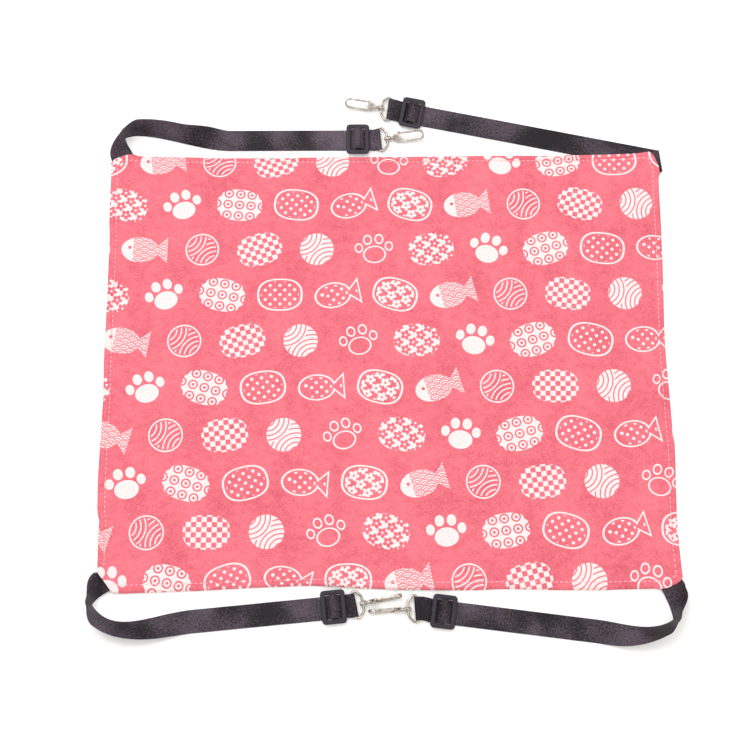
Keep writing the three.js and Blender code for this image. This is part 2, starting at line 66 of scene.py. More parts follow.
def photoCamera(c):
    # the floor's axes are turned by yaw and tilted back, and the picture is rolled about the line of sight
    yaw, tilt, roll = (math.radians(c[k]) for k in ("yaw", "tilt", "roll"))
    right = np.array([math.cos(yaw), -math.sin(yaw), 0.0])
    away = np.array([math.sin(yaw), math.cos(yaw), 0.0])
    upward = math.cos(tilt) * away + math.sin(tilt) * up
    back = -math.sin(tilt) * away + math.cos(tilt) * up
    across = math.cos(roll) * right - math.sin(roll) * upward
    above = math.sin(roll) * right + math.cos(roll) * upward
    place = Matrix(np.column_stack([across, above, back]).tolist()).to_4x4()
    place.translation = (back * c["distance"] * mm).tolist()
    data = bpy.data.cameras.new("photoCamera")
    data.lens, data.sensor_width = c["lens"], c["sensor"]
    data.shift_x, data.shift_y = (k / c["picture"] for k in c["shift"])
    data.clip_start, data.clip_end = c["clip"]
    made = bpy.data.objects.new("photoCamera", data)
    bpy.context.scene.collection.objects.link(made)
    made.matrix_world = place
    bpy.context.scene.camera = made


photoCamera(camera)
bpy.context.scene.view_settings.view_transform = "Standard"
bpy.context.scene.view_settings.look = "None"

# Lights: one large softbox above and behind, one in front, and a pale room
studio = {
    "floorSize": 12.0, "floorThick": 0.005, "floorDrop": 0.0002, "floorShade": 0.97,
    "walls": 0.65, "ceiling": 1.0, "wallTop": 0.6, "roomTint": (1.0, 0.975, 0.94, 1),
    "keyPlace": (-0.55, 0.75, 1.7), "keySize": 1.5, "keyPower": 20.0,
    "fillPlace": (0.9, -0.9, 1.6), "fillSize": 1.6, "fillPower": 9.0,
}


def softbox(name, place, size, power):
    light = bpy.data.lights.new(name, "AREA")
    light.shape, light.size, light.energy = "SQUARE", size, power
    made = bpy.data.objects.new(name, light)
    bpy.context.scene.collection.objects.link(made)
    back = np.array(place) / np.linalg.norm(place)
    side = np.cross([0, 1, 0], back)
    side /= np.linalg.norm(side)
    made.matrix_world = Matrix(np.column_stack([side, np.cross(back, side), back]).tolist()).to_4x4()
    made.location = place


def paleRoom(s):
    # its light rises from the walls' strength to the ceiling's as the view turns upwards
    world = bpy.data.worlds.new("paleRoom")
    world.use_nodes = True
    nodes, links = world.node_tree.nodes, world.node_tree.links
    background = nodes["Background"]
    background.inputs["Color"].default_value = s["roomTint"]
    upwards = nodes.new("ShaderNodeSeparateXYZ")
    links.new(nodes.new("ShaderNodeTexCoord").outputs["Generated"], upwards.inputs[0])
    rise = nodes.new("ShaderNodeMapRange")
    rise.interpolation_type = "SMOOTHSTEP"
    limits = {"From Min": 0.0, "From Max": s["wallTop"], "To Min": s["walls"], "To Max": s["ceiling"]}
    for key, value in limits.items():
        rise.inputs[key].default_value = value
    links.new(upwards.outputs[2], rise.inputs["Value"])
    links.new(rise.outputs["Result"], background.inputs["Strength"])
    bpy.context.scene.world = world


softbox("keyLight", studio["keyPlace"], studio["keySize"], studio["keyPower"])
softbox("fillLight", studio["fillPlace"], studio["fillSize"], studio["fillPower"])
paleRoom(studio)


# Mesh makers: every shape is a grid of points, rows along a path and columns round or across it
def unit(v):
    return v / np.linalg.norm(v, axis=-1, keepdims=True)


def smooth(t):
    t = np.clip(t, 0, 1)
    return t * t * (3 - 2 * t)


def heading(degrees):
    return np.array([math.cos(math.radians(degrees)), math.sin(math.radians(degrees)), 0.0])


def leftOf(way):
    # a quarter turn about Z
    return np.stack([-way[..., 1], way[..., 0], np.zeros(way.shape[:-1])], -1)


def closed(line):
    return np.concatenate([line, line[:1]])


def lengths(line):
    # the distance along a line at each of its points
    return np.concatenate([[0], np.cumsum(np.linalg.norm(np.diff(line, axis=0), axis=1))])


def pointsAt(line, run, at):
    return np.stack([np.interp(at, run, line[:, k]) for k in range(line.shape[1])], -1)


def areaOf(outline):
    # half the sum of each corner's cross product with the next, above 0 where they run anticlockwise
    x, y = outline.T
    return 0.5 * np.sum(x * np.roll(y, -1) - y * np.roll(x, -1))


def outward(points, faces):
    # true where the volume that the quads span about the origin is above 0
    a, b, c, d = (points[faces[:, k]] for k in range(4))
    volume = np.einsum("ij,ij->", a, np.cross(b, c)) + np.einsum("ij,ij->", a, np.cross(c, d))
    return volume > 0


def tube(rings, looped=False, pattern=None):
    # rings[row, column]: each ring is closed; the ends are capped unless the last ring joins the first
    rows, columns = rings.shape[:2]
    i = np.arange(rows if looped else rows - 1)[:, None]
    j = np.arange(columns)[None, :]
    nextRow, nextColumn = (i + 1) % rows * columns, (j + 1) % columns
    corners = [i * columns + j, i * columns + nextColumn, nextRow + nextColumn, nextRow + j]
    quads = np.stack([np.broadcast_to(c, (len(i), columns)) for c in corners], -1).reshape(-1, 4)
    points = rings.reshape(-1, 3)
    caps = [] if looped else [np.arange(columns)[::-1], (rows - 1) * columns + np.arange(columns)]
    if not outward(points, quads):
        quads = quads[:, ::-1]
        caps = [cap[::-1] for cap in caps]
    faces = quads.tolist() + [cap.tolist() for cap in caps]
    return points, faces, np.zeros((len(points), 2)) if pattern is None else pattern.reshape(-1, 2)


def moved(shape, place):
    points, faces, pattern = shape
    return points @ place[:3, :3].T + place[:3, 3], faces, pattern


def placedAll(shapes, place):
    return [moved(shape, place) for shape in shapes]


def piece(name, shapes, slotName, material, sharp=None):
    points, faces, pattern, start = [], [], [], 0
    for shapePoints, shapeFaces, shapePattern in shapes:
        points.append(shapePoints)
        pattern.append(shapePattern)
        faces += [[start + k for k in face] for face in shapeFaces] if start else shapeFaces
        start += len(shapePoints)
    mesh = bpy.data.meshes.new(name)
    mesh.from_pydata((np.concatenate(points) * mm).tolist(), [], faces)
    corner = np.zeros(len(mesh.loops), np.int32)
    mesh.loops.foreach_get("vertex_index", corner)
    layer = mesh.uv_layers.new(name="weave")
    layer.data.foreach_set("uv", (np.concatenate(pattern) * mm)[corner].astype(np.float32).ravel())
    mesh.polygons.foreach_set("use_smooth", np.ones(len(mesh.polygons), bool))
    if sharp:
        mesh.set_sharp_from_angle(angle=math.radians(sharp))
    mesh.materials.append(material)
    mesh.update()
    made = bpy.data.objects.new(name, mesh)
    bpy.context.scene.collection.objects.link(made)
    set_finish(made, slotName)
    return made


def roundedLoop(corners, radius, steps):
    # each corner of a polygon becomes an arc that touches both its sides
    corners = np.array(corners, float)
    radius = np.broadcast_to(radius, len(corners))
    points = []
    for k, here in enumerate(corners):
        before, after = unit(corners[k - 1] - here), unit(corners[(k + 1) % len(corners)] - here)
        half = math.acos(np.clip(before @ after, -1, 1)) / 2
        centre = here + unit(before + after) * radius[k] / math.sin(half)
        start, end = (here + way * radius[k] / math.tan(half) - centre for way in (before, after))
        t = np.linspace(0, 1, steps + 1)[:, None]
        points.append(centre + unit(start * (1 - t) + end * t) * radius[k])
    return np.concatenate(points)


def along(path, spacing, looped=False):
    # the same line with evenly spaced points
    line = closed(path) if looped else path
    run = lengths(line)
    count = max(int(round(run[-1] / spacing)), 3)
    at = np.linspace(0, run[-1], count + 1)[:-1] if looped else np.linspace(0, run[-1], count)
    return pointsAt(line, run, at)


def curveThrough(points, per):
    # Catmull-Rom: each span is a cubic whose end slopes are half the step between its neighbours
    points = np.asarray(points, float)
    ends = np.concatenate([2 * points[:1] - points[1:2], points, 2 * points[-1:] - points[-2:-1]])
    a, b, c, d = ends[:-3, None], ends[1:-2, None], ends[2:-1, None], ends[3:, None]
    t = (np.arange(per) / per)[None, :, None]
    curve = 0.5 * (2 * b + (c - a) * t + (2 * a - 5 * b + 4 * c - d) * t**2 + (3 * b - a - 3 * c + d) * t**3)
    return np.concatenate([curve.reshape(-1, points.shape[1]), points[-1:]])


def power(value, exponent):
    return np.sign(value) * np.abs(value) ** exponent


def rod(path, halfWidth, halfHeight, sides=14, exponent=1.0, looped=False, ends=None):
    # an oval section carried along a flat path: across it by halfWidth cos, above it by halfHeight sin
    path = np.asarray(path, float)
    if looped:
        way = unit(np.roll(path, -1, 0) - np.roll(path, 1, 0))
    else:
        way = unit(np.gradient(path, axis=0))
    side = leftOf(way)
    middle = np.column_stack([path[:, :2], np.zeros(len(path))])
    turn = 2 * np.pi * (np.arange(sides) + 0.5) / sides
    size = np.ones(len(path)) if ends is None else ends
    reach = (size * halfWidth)[:, None, None] * power(np.cos(turn), exponent)[None, :, None]
    rise = (size * halfHeight)[:, None, None] * power(np.sin(turn), exponent)[None, :, None]
    return tube(middle[:, None] + side[:, None] * reach + up * rise, looped)


def turned(profile, sides=28, looped=False):
    # a profile of (x, radius) carried round the X axis
    profile = np.asarray(profile, float)
    turn = 2 * np.pi * np.arange(sides) / sides
    spoke = np.stack([np.zeros(sides), np.cos(turn), np.sin(turn)], -1)
    rings = profile[:, :1, None] * np.array([1.0, 0, 0]) + profile[:, 1:, None] * spoke[None]
    return tube(rings, looped)


def plate(outline, low, high, edge):
    # an outline with a rounded edge: rings drawn in by edge (1 - sin) at the bottom and at the top
    outline = np.asarray(outline, float)
    way = unit(np.roll(outline, -1, 0) - np.roll(outline, 1, 0))
    inward = leftOf(way)[:, :2] * np.sign(areaOf(outline))
    turn = np.radians([0, 30, 60, 90])
    draw = edge * np.concatenate([1 - np.sin(turn), (1 - np.sin(turn))[::-1]])
    rise = edge * (1 - np.cos(turn))
    height = np.concatenate([low + rise, (high - rise)[::-1]])
    flat = outline + inward * draw[:, None, None]
    return tube(np.dstack([flat, np.broadcast_to(height[:, None], flat.shape[:2])]))


def placed(shift=(0, 0, 0), axis="z", degrees=0):
    # a turn about one axis, then a shift
    c, s = math.cos(math.radians(degrees)), math.sin(math.radians(degrees))
    turns = {
        "x": [[1, 0, 0], [0, c, -s], [0, s, c]],
        "y": [[c, 0, s], [0, 1, 0], [-s, 0, c]],
        "z": [[c, -s, 0], [s, c, 0], [0, 0, 1]],
    }
    place = np.eye(4)
    place[:3, :3] = turns[axis]
    place[:3, 3] = shift
    return place


# Materials: a formula reads as a sum, because each operation on a Field adds one Math node
class Field:
    def __init__(self, socket):
        self.socket = socket

    def __add__(self, other):
        return calc("ADD", self, other)

    def __radd__(self, other):
        return calc("ADD", self, other)

    def __sub__(self, other):
        return calc("SUBTRACT", self, other)

    def __rsub__(self, other):
        return calc("SUBTRACT", other, self)

    def __mul__(self, other):
        return calc("MULTIPLY", self, other)

    def __truediv__(self, other):
        return calc("DIVIDE", self, other)

    def __neg__(self):
        return calc("MULTIPLY", self, -1.0)


tree = None


def node(kind, **settings):
    made = tree.nodes.new(kind)
    for key, value in settings.items():
        setattr(made, key, value)
    return made


def feed(socket, value):
    if isinstance(value, Field):
        tree.links.new(value.socket, socket)
    else:
        socket.default_value = value


def calc(operation, *terms, clamp=False):
    made = node("ShaderNodeMath", operation=operation, use_clamp=clamp)
    for k, term in enumerate(terms):
        feed(made.inputs[k], term)
    return Field(made.outputs[0])


def size(a, b):
    return calc("SQRT", a * a + b * b)


lowest, highest, absolute = (partial(calc, operation) for operation in ("MINIMUM", "MAXIMUM", "ABSOLUTE"))
floored, sine, cosine = (partial(calc, operation) for operation in ("FLOOR", "SINE", "COSINE"))


def cycle(a, period):
    return a - floored(a / period) * period


def centred(a, period):
    return cycle(a, period) - period / 2


def choose(mask, yes, no):
    return no + (yes - no) * mask


def combined(x, y, z=0.0):
    made = node("ShaderNodeCombineXYZ")
    for socket, value in zip(made.inputs, (x, y, z)):
        feed(socket, value)
    return Field(made.outputs[0])


def coordinates(own):
    # Object coordinates, or the piece's own pattern map, in millimetres
    source = node("ShaderNodeTexCoord").outputs["UV" if own else "Object"]
    split = node("ShaderNodeSeparateXYZ")
    tree.links.new(source, split.inputs[0])
    return [Field(socket) * 1000.0 for socket in split.outputs]


def noise(vector, scale=1.0, detail=2.0, roughness=0.5):
    made = node("ShaderNodeTexNoise")
    for key, value in {"Vector": vector, "Scale": scale, "Detail": detail, "Roughness": roughness}.items():
        feed(made.inputs[key], value)
    return Field(made.outputs[0])


def linear(red, green, blue):
    # a screen colour in 0 to 255 as the light that it stands for
    value = np.array([red, green, blue]) / 255
    return tuple(np.where(value <= 0.04045, value / 12.92, ((value + 0.055) / 1.055) ** 2.4)) + (1.0,)


def mixed(share, first, second):
    made = node("ShaderNodeMix", data_type="RGBA", clamp_factor=True)
    feed(made.inputs[0], share)
    feed(made.inputs[6], first)
    feed(made.inputs[7], second)
    return Field(made.outputs[2])


# What each material starts from, and its two tones as they look on a screen, in 0 to 255
looks = {
    "printedCloth": {"Roughness": 0.86, "Sheen Weight": 0.12, "Specular IOR Level": 0.25},
    "fleecePile": {"Roughness": 0.95, "Sheen Weight": 0.35, "Specular IOR Level": 0.1},
    "sewingThread": {"Roughness": 0.6},
    "wovenWebbing": {"Sheen Weight": 0.04, "Specular IOR Level": 0.22},
    "mouldedPlastic": {"Specular IOR Level": 0.22},
    "nickelPlate": {"Metallic": 1.0},
    "springSteel": {"Metallic": 1.0},
    "studioFloor": {"Roughness": 0.9, "Specular IOR Level": 0.1},
}
tones = {
    "fleecePile": ((214, 203, 196), (249, 244, 239)), "fleeceDrift": (232, 222, 214),
    "sewingThread": ((250, 150, 165), (255, 214, 217)), "wovenWebbing": ((20, 12, 19), (92, 79, 93)),
    "mouldedPlastic": ((30, 23, 33), (54, 45, 58)), "nickelPlate": ((112, 97, 86), (214, 208, 201)),
    "springSteel": ((120, 118, 116), (190, 188, 186)),
}


def material(name):
    global tree
    made = bpy.data.materials.new(name)
    made.use_nodes = True
    tree = made.node_tree
    shader = tree.nodes["Principled BSDF"]
    for key, value in looks[name].items():
        shader.inputs[key].default_value = value
    return made, shader


def between(share, name):
    # a tone between the two that are named for a material
    first, second = tones[name]
    return mixed(share, linear(*first), linear(*second))


def bumped(shader, height, distance, strength=1.0):
    made = node("ShaderNodeBump")
    made.inputs["Distance"].default_value = distance * mm
    made.inputs["Strength"].default_value = strength
    feed(made.inputs["Height"], height)
    tree.links.new(made.outputs[0], shader.inputs["Normal"])


# The printed cloth: rows of pebbles, fish, paw prints and balls of yarn, some filled and some in outline,
# with blossoms, checks, dots, rings and scalloped waves inside them
printed = {
    "pitch": 51.5, "row": 43.0, "stagger": 18.7, "tilt": 0.3, "line": 0.62, "margin": 2.4, "scale": 0.96,
    "ground": (224, 114, 127), "deep": (190, 78, 95), "ink": (238, 217, 216), "worn": (232, 176, 180),
    "kinds": 11.0, "fish": [1, 7], "paw": [3, 8], "ball": [5, 10], "outlined": [1, 4, 8, 9, 10],
    "blossoms": [0, 4], "checks": [2], "dots": [1, 9], "rings": [6], "waves": [7], "strands": [5, 10],
}


def pebble(p, q):
    # a rounded oblong: |p / 19.5|^2.5 + |q / 14.5|^2.5 is 1 along its edge
    reach = calc("POWER", absolute(p) / 19.5, 2.5) + calc("POWER", absolute(q) / 14.5, 2.5)
    return (calc("POWER", reach, 0.4) - 1.0) * 14.0


def fish(p, q):
    # an ellipse with a triangle behind it
    body = (size((p + 4.0) / 16.0, q / 11.5) - 1.0) * 11.5
    tail = highest((absolute(q) - (p - 7.0) * 0.95) * 0.72, p - 19.5)
    return lowest(body, tail)


def paw(p, q):
    # one pad and four toes
    side = absolute(p)
    pad = (size(p / 10.0, (q + 5.0) / 8.0) - 1.0) * 8.5
    inner = size(side - 5.0, (q - 8.8) * 0.82) - 3.9
    outer = size((side - 13.0) * 1.05, (q - 1.8) * 0.85) - 3.8
    return lowest(pad, lowest(inner, outer))


def checks(p, q):
    # sines along both ways, whose product changes sign from square to square
    return sine(p * (math.pi / 4.3)) * sine(q * (math.pi / 4.3)) * -1.6


def lattice(p, q, pitch):
    # the offset to the nearer of two interleaved square lattices
    p1, q1 = centred(p, pitch), centred(q, pitch)
    p2, q2 = centred(p + pitch / 2, pitch), centred(q + pitch / 2, pitch)
    near = calc("LESS_THAN", p1 * p1 + q1 * q1, p2 * p2 + q2 * q2)
    return choose(near, p1, p2), choose(near, q1, q2)


def dots(p, q):
    return size(*lattice(p, q, 8.4)) - 1.35


def rings(p, q):
    # a ring round a dot in each square
    r = size(centred(p + 5.0, 10.0), centred(q + 5.0, 10.0))
    return lowest(absolute(r - 3.5) - 0.7, r - 1.3)


def waves(p, q):
    # scallops: the circle of the row below is in front wherever it reaches the point
    h = 2.7
    row = floored(q / h)
    lift = q - row * h
    odd = cycle(row, 2.0)
    a = cycle(p + odd * (2 * h), 4 * h) - 2 * h
    b = cycle(p + (1.0 - odd) * (2 * h), 4 * h) - 2 * h
    front, behind = size(b, lift + h), size(a, lift)
    r = choose(calc("LESS_THAN", front, 2 * h), front, behind)
    return absolute(cycle(r, 0.72 * h) - 0.36 * h) - 0.42


def blossoms(p, q):
    # five petals: the radius swells by |cos 2.5 angle|
    a, b = lattice(p + 3.0, q + 2.0, 13.0)
    r = size(a, b)
    petals = absolute(cosine(calc("ARCTAN2", b, a) * 2.5))
    return highest(r - 2.6 - petals * 2.0, 1.0 - r)


def strands(p, q):
    # arcs of yarn about two far points, one set over the other
    first, second = size(p + 17.0, q - 9.0), size(p - 15.0, q + 13.0)
    arcs, others = (absolute(centred(r, 4.0)) - 0.55 for r in (first, second))
    return choose(calc("LESS_THAN", first, 20.0), arcs, others)


def oneOf(kind, values):
    found = calc("COMPARE", kind, float(values[0]), 0.5)
    for value in values[1:]:
        found = found + calc("COMPARE", kind, float(value), 0.5)
    return found


def printMask(u, v, c):
    # 1 where the pale ink lies: the cell and its kind first, then its shape, then the pattern inside it
    row = floored(v / c["row"])
    slid = u + row * c["stagger"]
    column = floored(slid / c["pitch"])
    x = slid - (column + 0.5) * c["pitch"]
    y = v - (row + 0.5) * c["row"]
    kind = cycle(column * 3.0 + row * 4.0, c["kinds"])
    tilt = sine(column * 2.4 + row * 1.7) * c["tilt"]
    ahead, aside = cosine(tilt), sine(tilt)
    p = (x * ahead - y * aside) * c["scale"]
    q = (x * aside + y * ahead) * c["scale"]
    ball = size(p, q) - 14.5
    isFish, isPaw, isBall = (oneOf(kind, c[name]) for name in ("fish", "paw", "ball"))
    shape = choose(isFish, fish(p, q), pebble(p, q))
    shape = choose(isPaw, paw(p, q), shape)
    shape = choose(isBall, ball, shape)
    mark = 6.0
    for pattern in (blossoms, checks, dots, rings, waves, strands):
        mark = choose(oneOf(kind, c[pattern.__name__]), pattern(p, q), mark)
    eye = size(p + 13.0, q - 2.0) - 1.5
    mark = choose(isFish, lowest(highest(mark, -10.0 - p), eye), mark)
    filled = highest(shape, -mark)
    drawn = lowest(absolute(shape + c["line"]) - c["line"], highest(shape + c["margin"], mark))
    ink = choose(oneOf(kind, c["outlined"]), drawn, filled)
    return calc("ADD", ink * -2.4, 0.5, clamp=True)


def printedCloth(c):
    made, shader = material("printedCloth")
    u, v, _ = coordinates(True)
    mask = printMask(u, v, c)
    cross = noise(combined(u * 0.4, v * 1.6)) + noise(combined(u * 1.6, v * 0.4))
    blotch = noise(combined(u * 0.028, v * 0.02), detail=3.0)
    weft = sine(u * 5.2) * sine(v * 5.2)
    speck = noise(combined(u * 0.8, v * 0.8))
    # crease: soft darker patches of painted shade that stand in for the shading of shallow creases
    crease = noise(combined(u * 0.12, v * 0.15), detail=4.0)
    shade = (blotch - 0.5) * 1.2 + (crease - 0.5) * 1.1 + (cross - 1.0) * 1.7 + weft * 0.1 + 0.36
    ground = mixed(shade, linear(*c["ground"]), linear(*c["deep"]))
    ink = mixed((speck - 0.45) * 1.6 + (cross - 1.0) * 1.2, linear(*c["ink"]), linear(*c["worn"]))
    worn = mask * (1.08 - absolute(cross - 1.0) * 1.2)
    feed(shader.inputs["Base Color"], mixed(worn, ground, ink))
    bumped(shader, cross, 0.25, 0.5)
    return made


def fleecePile():
    made, shader = material("fleecePile")
    place = combined(*coordinates(False))
    tufts = noise(place, scale=0.45, detail=4.0, roughness=0.65)
    drift = noise(place, scale=0.03)
    shade = between((tufts - 0.35) * 1.6, "fleecePile")
    feed(shader.inputs["Base Color"], mixed(drift * 0.3, shade, linear(*tones["fleeceDrift"])))
    bumped(shader, tufts, 1.2, 0.8)
    return made


def sewingThread():
    made, shader = material("sewingThread")
    ply = noise(combined(*coordinates(False)), scale=2.5)
    feed(shader.inputs["Base Color"], between(ply, "sewingThread"))
    bumped(shader, ply, 0.15)
    return made


def wovenWebbing(rib=1.15):
    made, shader = material("wovenWebbing")
    u, v, _ = coordinates(True)
    ribs = sine(u * (2 * math.pi / rib))
    chevron = sine((u + absolute(centred(v, 5.0)) * 1.2) * (2 * math.pi / rib))
    # broad lighter patches along the strap: painted sheen that stands in for light reflected off its
    # undulations; the same patches are also glossier
    paintedSheen = noise(combined(u * 0.022, v * 0.02 + u * 0.006))
    speckle = noise(combined(u * 0.65, v * 0.55), detail=3.0)
    share = (paintedSheen - 0.42) * 2.7 + (speckle - 0.5) * 1.9 + chevron * 0.08 + 0.08
    feed(shader.inputs["Base Color"], between(share, "wovenWebbing"))
    feed(shader.inputs["Roughness"], 0.6 - paintedSheen * 0.2 + speckle * 0.1)
    bumped(shader, chevron * 0.35 + ribs * 0.3 + speckle, 0.1, 0.6)
    return made


def mouldedPlastic():
    made, shader = material("mouldedPlastic")
    grain = noise(combined(*coordinates(False)), scale=1.6, detail=3.0)
    feed(shader.inputs["Base Color"], between(grain, "mouldedPlastic"))
    feed(shader.inputs["Roughness"], 0.3 + grain * 0.2)
    bumped(shader, grain, 0.06, 0.5)
    return made


def platedMetal(name, low, high):
    # its roughness lies between low and high
    made, shader = material(name)
    place = combined(*coordinates(False))
    cloud, fine = noise(place, scale=0.35, detail=3.0), noise(place, scale=3.0)
    feed(shader.inputs["Base Color"], between(cloud * 1.4 - 0.2, name))
    feed(shader.inputs["Roughness"], low + fine * (high - low))
    bumped(shader, fine, 0.03, 0.5)
    return made


def floorMaterial(shade):
    made, shader = material("studioFloor")
    shader.inputs["Base Color"].default_value = (shade, shade, shade, 1)
    return made


def studioFloor(s):
    half, top = s["floorSize"] / 2 / mm, -s["floorDrop"] / mm
    square = np.array([[-half, -half], [half, -half], [half, half], [-half, half]])
    rings = [np.column_stack([square, np.full(4, z)]) for z in (top - s["floorThick"] / mm, top)]
    made = piece("studioFloor", [tube(np.array(rings))], "canvas", floorMaterial(s["floorShade"]), sharp=30)
    del made["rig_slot"]


cloth = printedCloth(printed)
pile = fleecePile()
thread = sewingThread()
woven = wovenWebbing()
plastic = mouldedPlastic()
nickel = platedMetal("nickelPlate", 0.16, 0.34)
steel = platedMetal("springSteel", 0.25, 0.45)
print("materials made, the print has", len(cloth.node_tree.nodes), "nodes")

studioFloor(studio)

# The straps' places, from the solids' sizes; only the slider's end bars are wider, after the photo
panel = {"length": 500.0, "width": 400.0, "fleece": 3.2, "canvas": 0.6, "layerGap": 0.2}
webbing = {"width": 20.0, "thick": 1.0, "tail": 24.0, "clearance": 0.25, "cutMargin": 0.55}
slider = {
    "length": 21.0, "thick": 2.2, "endBar": 4.0, "midBar": 2.0, "rail": 3.8, "play": 0.7, "corner": 3.2,
    "slotBend": 0.9, "barRoot": 0.8,
}
ring = {"wire": 2.2, "play": 0.4, "depth": 7.8, "arm": 3.6, "front": 13.0, "bend": 2.2}
eye = {"outer": 4.6, "length": 2.6}
stud = {"shaft": 2.0, "head": 3.6, "headLength": 1.1, "headGap": 0.35}
hook = {
    "length": 32.6, "width": 9.4, "thick": 3.2, "wall": 1.8, "base": 10.8, "nose": 1.4, "collar": 1.3,
    "neck": 5.0, "soft": 0.35, "inset": 0.02,
}
gate = {
    "pivotBack": 2.6, "pivotIn": 2.3, "lug": 1.4, "width": 1.7, "arm": 2.4, "tab": 1.1, "knob": 1.6,
    "tipGap": 0.35,
}
pin = {"diameter": 1.0, "clearance": 0.25}
spring = {"wire": 0.25, "diameter": 1.2, "length": 1.4, "turns": 3, "along": 1.4}
gap = 0.3
# Each corner: which way it lies from the middle, the turn of its cut, where its strap leaves the panel, how
# the strap bends, and how its slider, ring and hook lie. Lengths are in millimetres, turns in degrees.
# weave is where each strap's pattern starts along it, which also sets where its painted sheen patches fall
corners = {
    "front_left": {
        "side": (-1, -1), "cutTurn": 49.7, "weave": 0.0, "foldPast": (1.3, 1.4), "tipShare": 0.356,
        "standOff": 1.0, "heading": 5.3, "straightShare": 0.59, "notch": (-253.5, -211.8),
        "toward": (204, 232), "away": -55, "pull": (1.2, 1.2), "lift": 5, "rise": 0.95, "stand": 83,
        "lean": 58, "bank": 0, "settle": 1.0, "hold": 0.5, "twist": 270, "twistShare": 0.5, "bulge": 0.0,
        "loop": 17.3, "yaw": 5.4, "pitch": 4.5, "roll": -90.0,
    },
    "front_right": {
        "side": (1, -1), "cutTurn": 22.3, "weave": 140.0, "foldPast": (-4.2, 14.5), "tipShare": 0.58,
        "standOff": 5.5, "heading": 172.5, "straightShare": 0.65, "notch": (241.3, -227.7),
        "toward": (-66, -80), "away": 212, "pull": (1.05, 1.05), "lift": 30, "rise": 0.61, "stand": 79.5,
        "lean": 63, "bank": 0, "settle": 0.93, "hold": 0.5, "twist": -116, "twistShare": 0.5, "bulge": 2.8,
        "loop": 22.6, "yaw": 11.5, "pitch": 4.5, "roll": -90.0,
    },
    "back_left": {
        "side": (-1, 1), "cutTurn": 22.3, "weave": 455.0, "foldPast": (-7.0, 5.8), "tipShare": 1.083,
        "standOff": 0.4, "heading": 0.0, "straightShare": 0.54, "notch": (-240.0, 217.7),
        "toward": (113, 107), "away": 24, "pull": (0.7, 0.95), "lift": 6, "rise": 0.73, "stand": 90,
        "lean": 67, "bank": 53, "settle": 0.5, "hold": 0.5, "twist": 60, "twistShare": 1.0, "bulge": 2.8,
        "loop": 19.0, "yaw": 5.5, "pitch": 3.5, "roll": -155.0,
    },
    "back_right": {
        "side": (1, 1), "cutTurn": 67.7, "weave": 300.0, "foldPast": (0.4, -7.2), "foldIn": 24.0,
        "tipShare": 1.19, "standOff": 26.5, "straightShare": 0.925, "bowShare": 1.0, "fanShare": 0.8,
        "bulge": 2.2, "loop": 20.7, "yaw": 3.5, "pitch": 3.5, "roll": -25.0,
    },
}
# A strap that stands in its bend: shares of the way to and from the notch, and its points' spacing
standing = {"freed": 0.35, "drop": 0.15, "spacing": 0.6, "soften": 4}
# How far each soft stretch reaches from its middle, and from the fold's top and the slider's end
blendReach = {"before": 11.0, "after": 13.0, "spare": 0.6, "inFold": 0.6, "pastSlider": 0.4}

layer = webbing["thick"] + webbing["clearance"]
lowLayer = webbing["clearance"] + webbing["thick"] / 2
highLayer = lowLayer + layer
ringRadius = ring["wire"] / 2
turnRadius = ringRadius + layer - webbing["thick"] / 2
barHeight = lowLayer + turnRadius
sliderBottom = highLayer + webbing["thick"] / 2 + webbing["clearance"]
sliderMiddle = sliderBottom + slider["thick"] / 2
wrapRadius = math.hypot(slider["midBar"], slider["thick"]) / 2 + layer - webbing["thick"] / 2
canvasBottom = panel["fleece"] + panel["layerGap"]
canvasTop = canvasBottom + panel["canvas"]
tailHeight = panel["fleece"] - webbing["clearance"] / 2 - webbing["thick"] / 2
cutLength = webbing["width"] + 2 * webbing["cutMargin"]
sliderWidth = webbing["width"] + 2 * (slider["play"] + slider["rail"])
ringBar = webbing["width"] + 2 * ring["play"] + ring["wire"]
eyeStart = ring["depth"] - ringRadius
eyeEnd = eyeStart + eye["length"]
hookStart = eyeEnd + gap
pivotX = hook["base"] - gate["pivotBack"]
pivotY = hook["width"] / 2 - gate["pivotIn"]


def measure(c):
    # the cut, the slider's place, and for the strap under the panel its fold's axis and turn
    sx, sy = c["side"]
    tip = np.array([sx * panel["length"] / 2, sy * panel["width"] / 2, 0])
    turn = math.radians(c["cutTurn"])
    legs = cutLength * np.array([math.cos(turn), math.sin(turn)])
    start = tip + np.array([sx * c["foldPast"][0], sy * c["foldPast"][1], tailHeight])
    reach = c["loop"] + hookStart + (1 - c["tipShare"]) * hook["length"]
    middle = np.array([sx * reach, sy * ((panel["width"] + sliderWidth) / 2 + c["standOff"]), 0])
    m = {
        "legs": legs, "cutMiddle": tip + np.array([-sx * legs[0] / 2, -sy * legs[1] / 2, 0]),
        "out": unit(np.array([sx * legs[1], sy * legs[0], 0])), "start": start, "middle": middle,
        "straight": c["straightShare"] * np.linalg.norm((middle - start)[:2]),
    }
    if "heading" in c:
        m["ahead"] = heading(c["heading"])
    else:
        m.update(underFold(start, middle, c))
    return m


def underFold(start, middle, c):
    # the fold's axis halves the angle between the strap's two directions, so both sides lie flat
    radius, into, way = (tailHeight - lowLayer) / 2, heading(c["foldIn"]), middle - start
    for _ in range(5):
        axis = heading((math.degrees(math.atan2(way[1], way[0])) + c["foldIn"]) / 2)
        lean = into @ axis
        outwards = unit(into - axis * lean)
        steep = into @ outwards
        advance = math.pi * radius * lean / steep
        way = middle - start - axis * advance
    left = leftOf(into)
    line = axis * np.sign(left @ axis)
    return {"axis": axis, "radius": radius, "into": into, "outwards": outwards, "steep": steep,
            "advance": advance, "back": axis * lean - outwards * steep, "line": line,
            "slant": math.atan2(line @ into, line @ left), "ahead": unit(way * level)}


measured = {name: measure(c) for name, c in corners.items()}


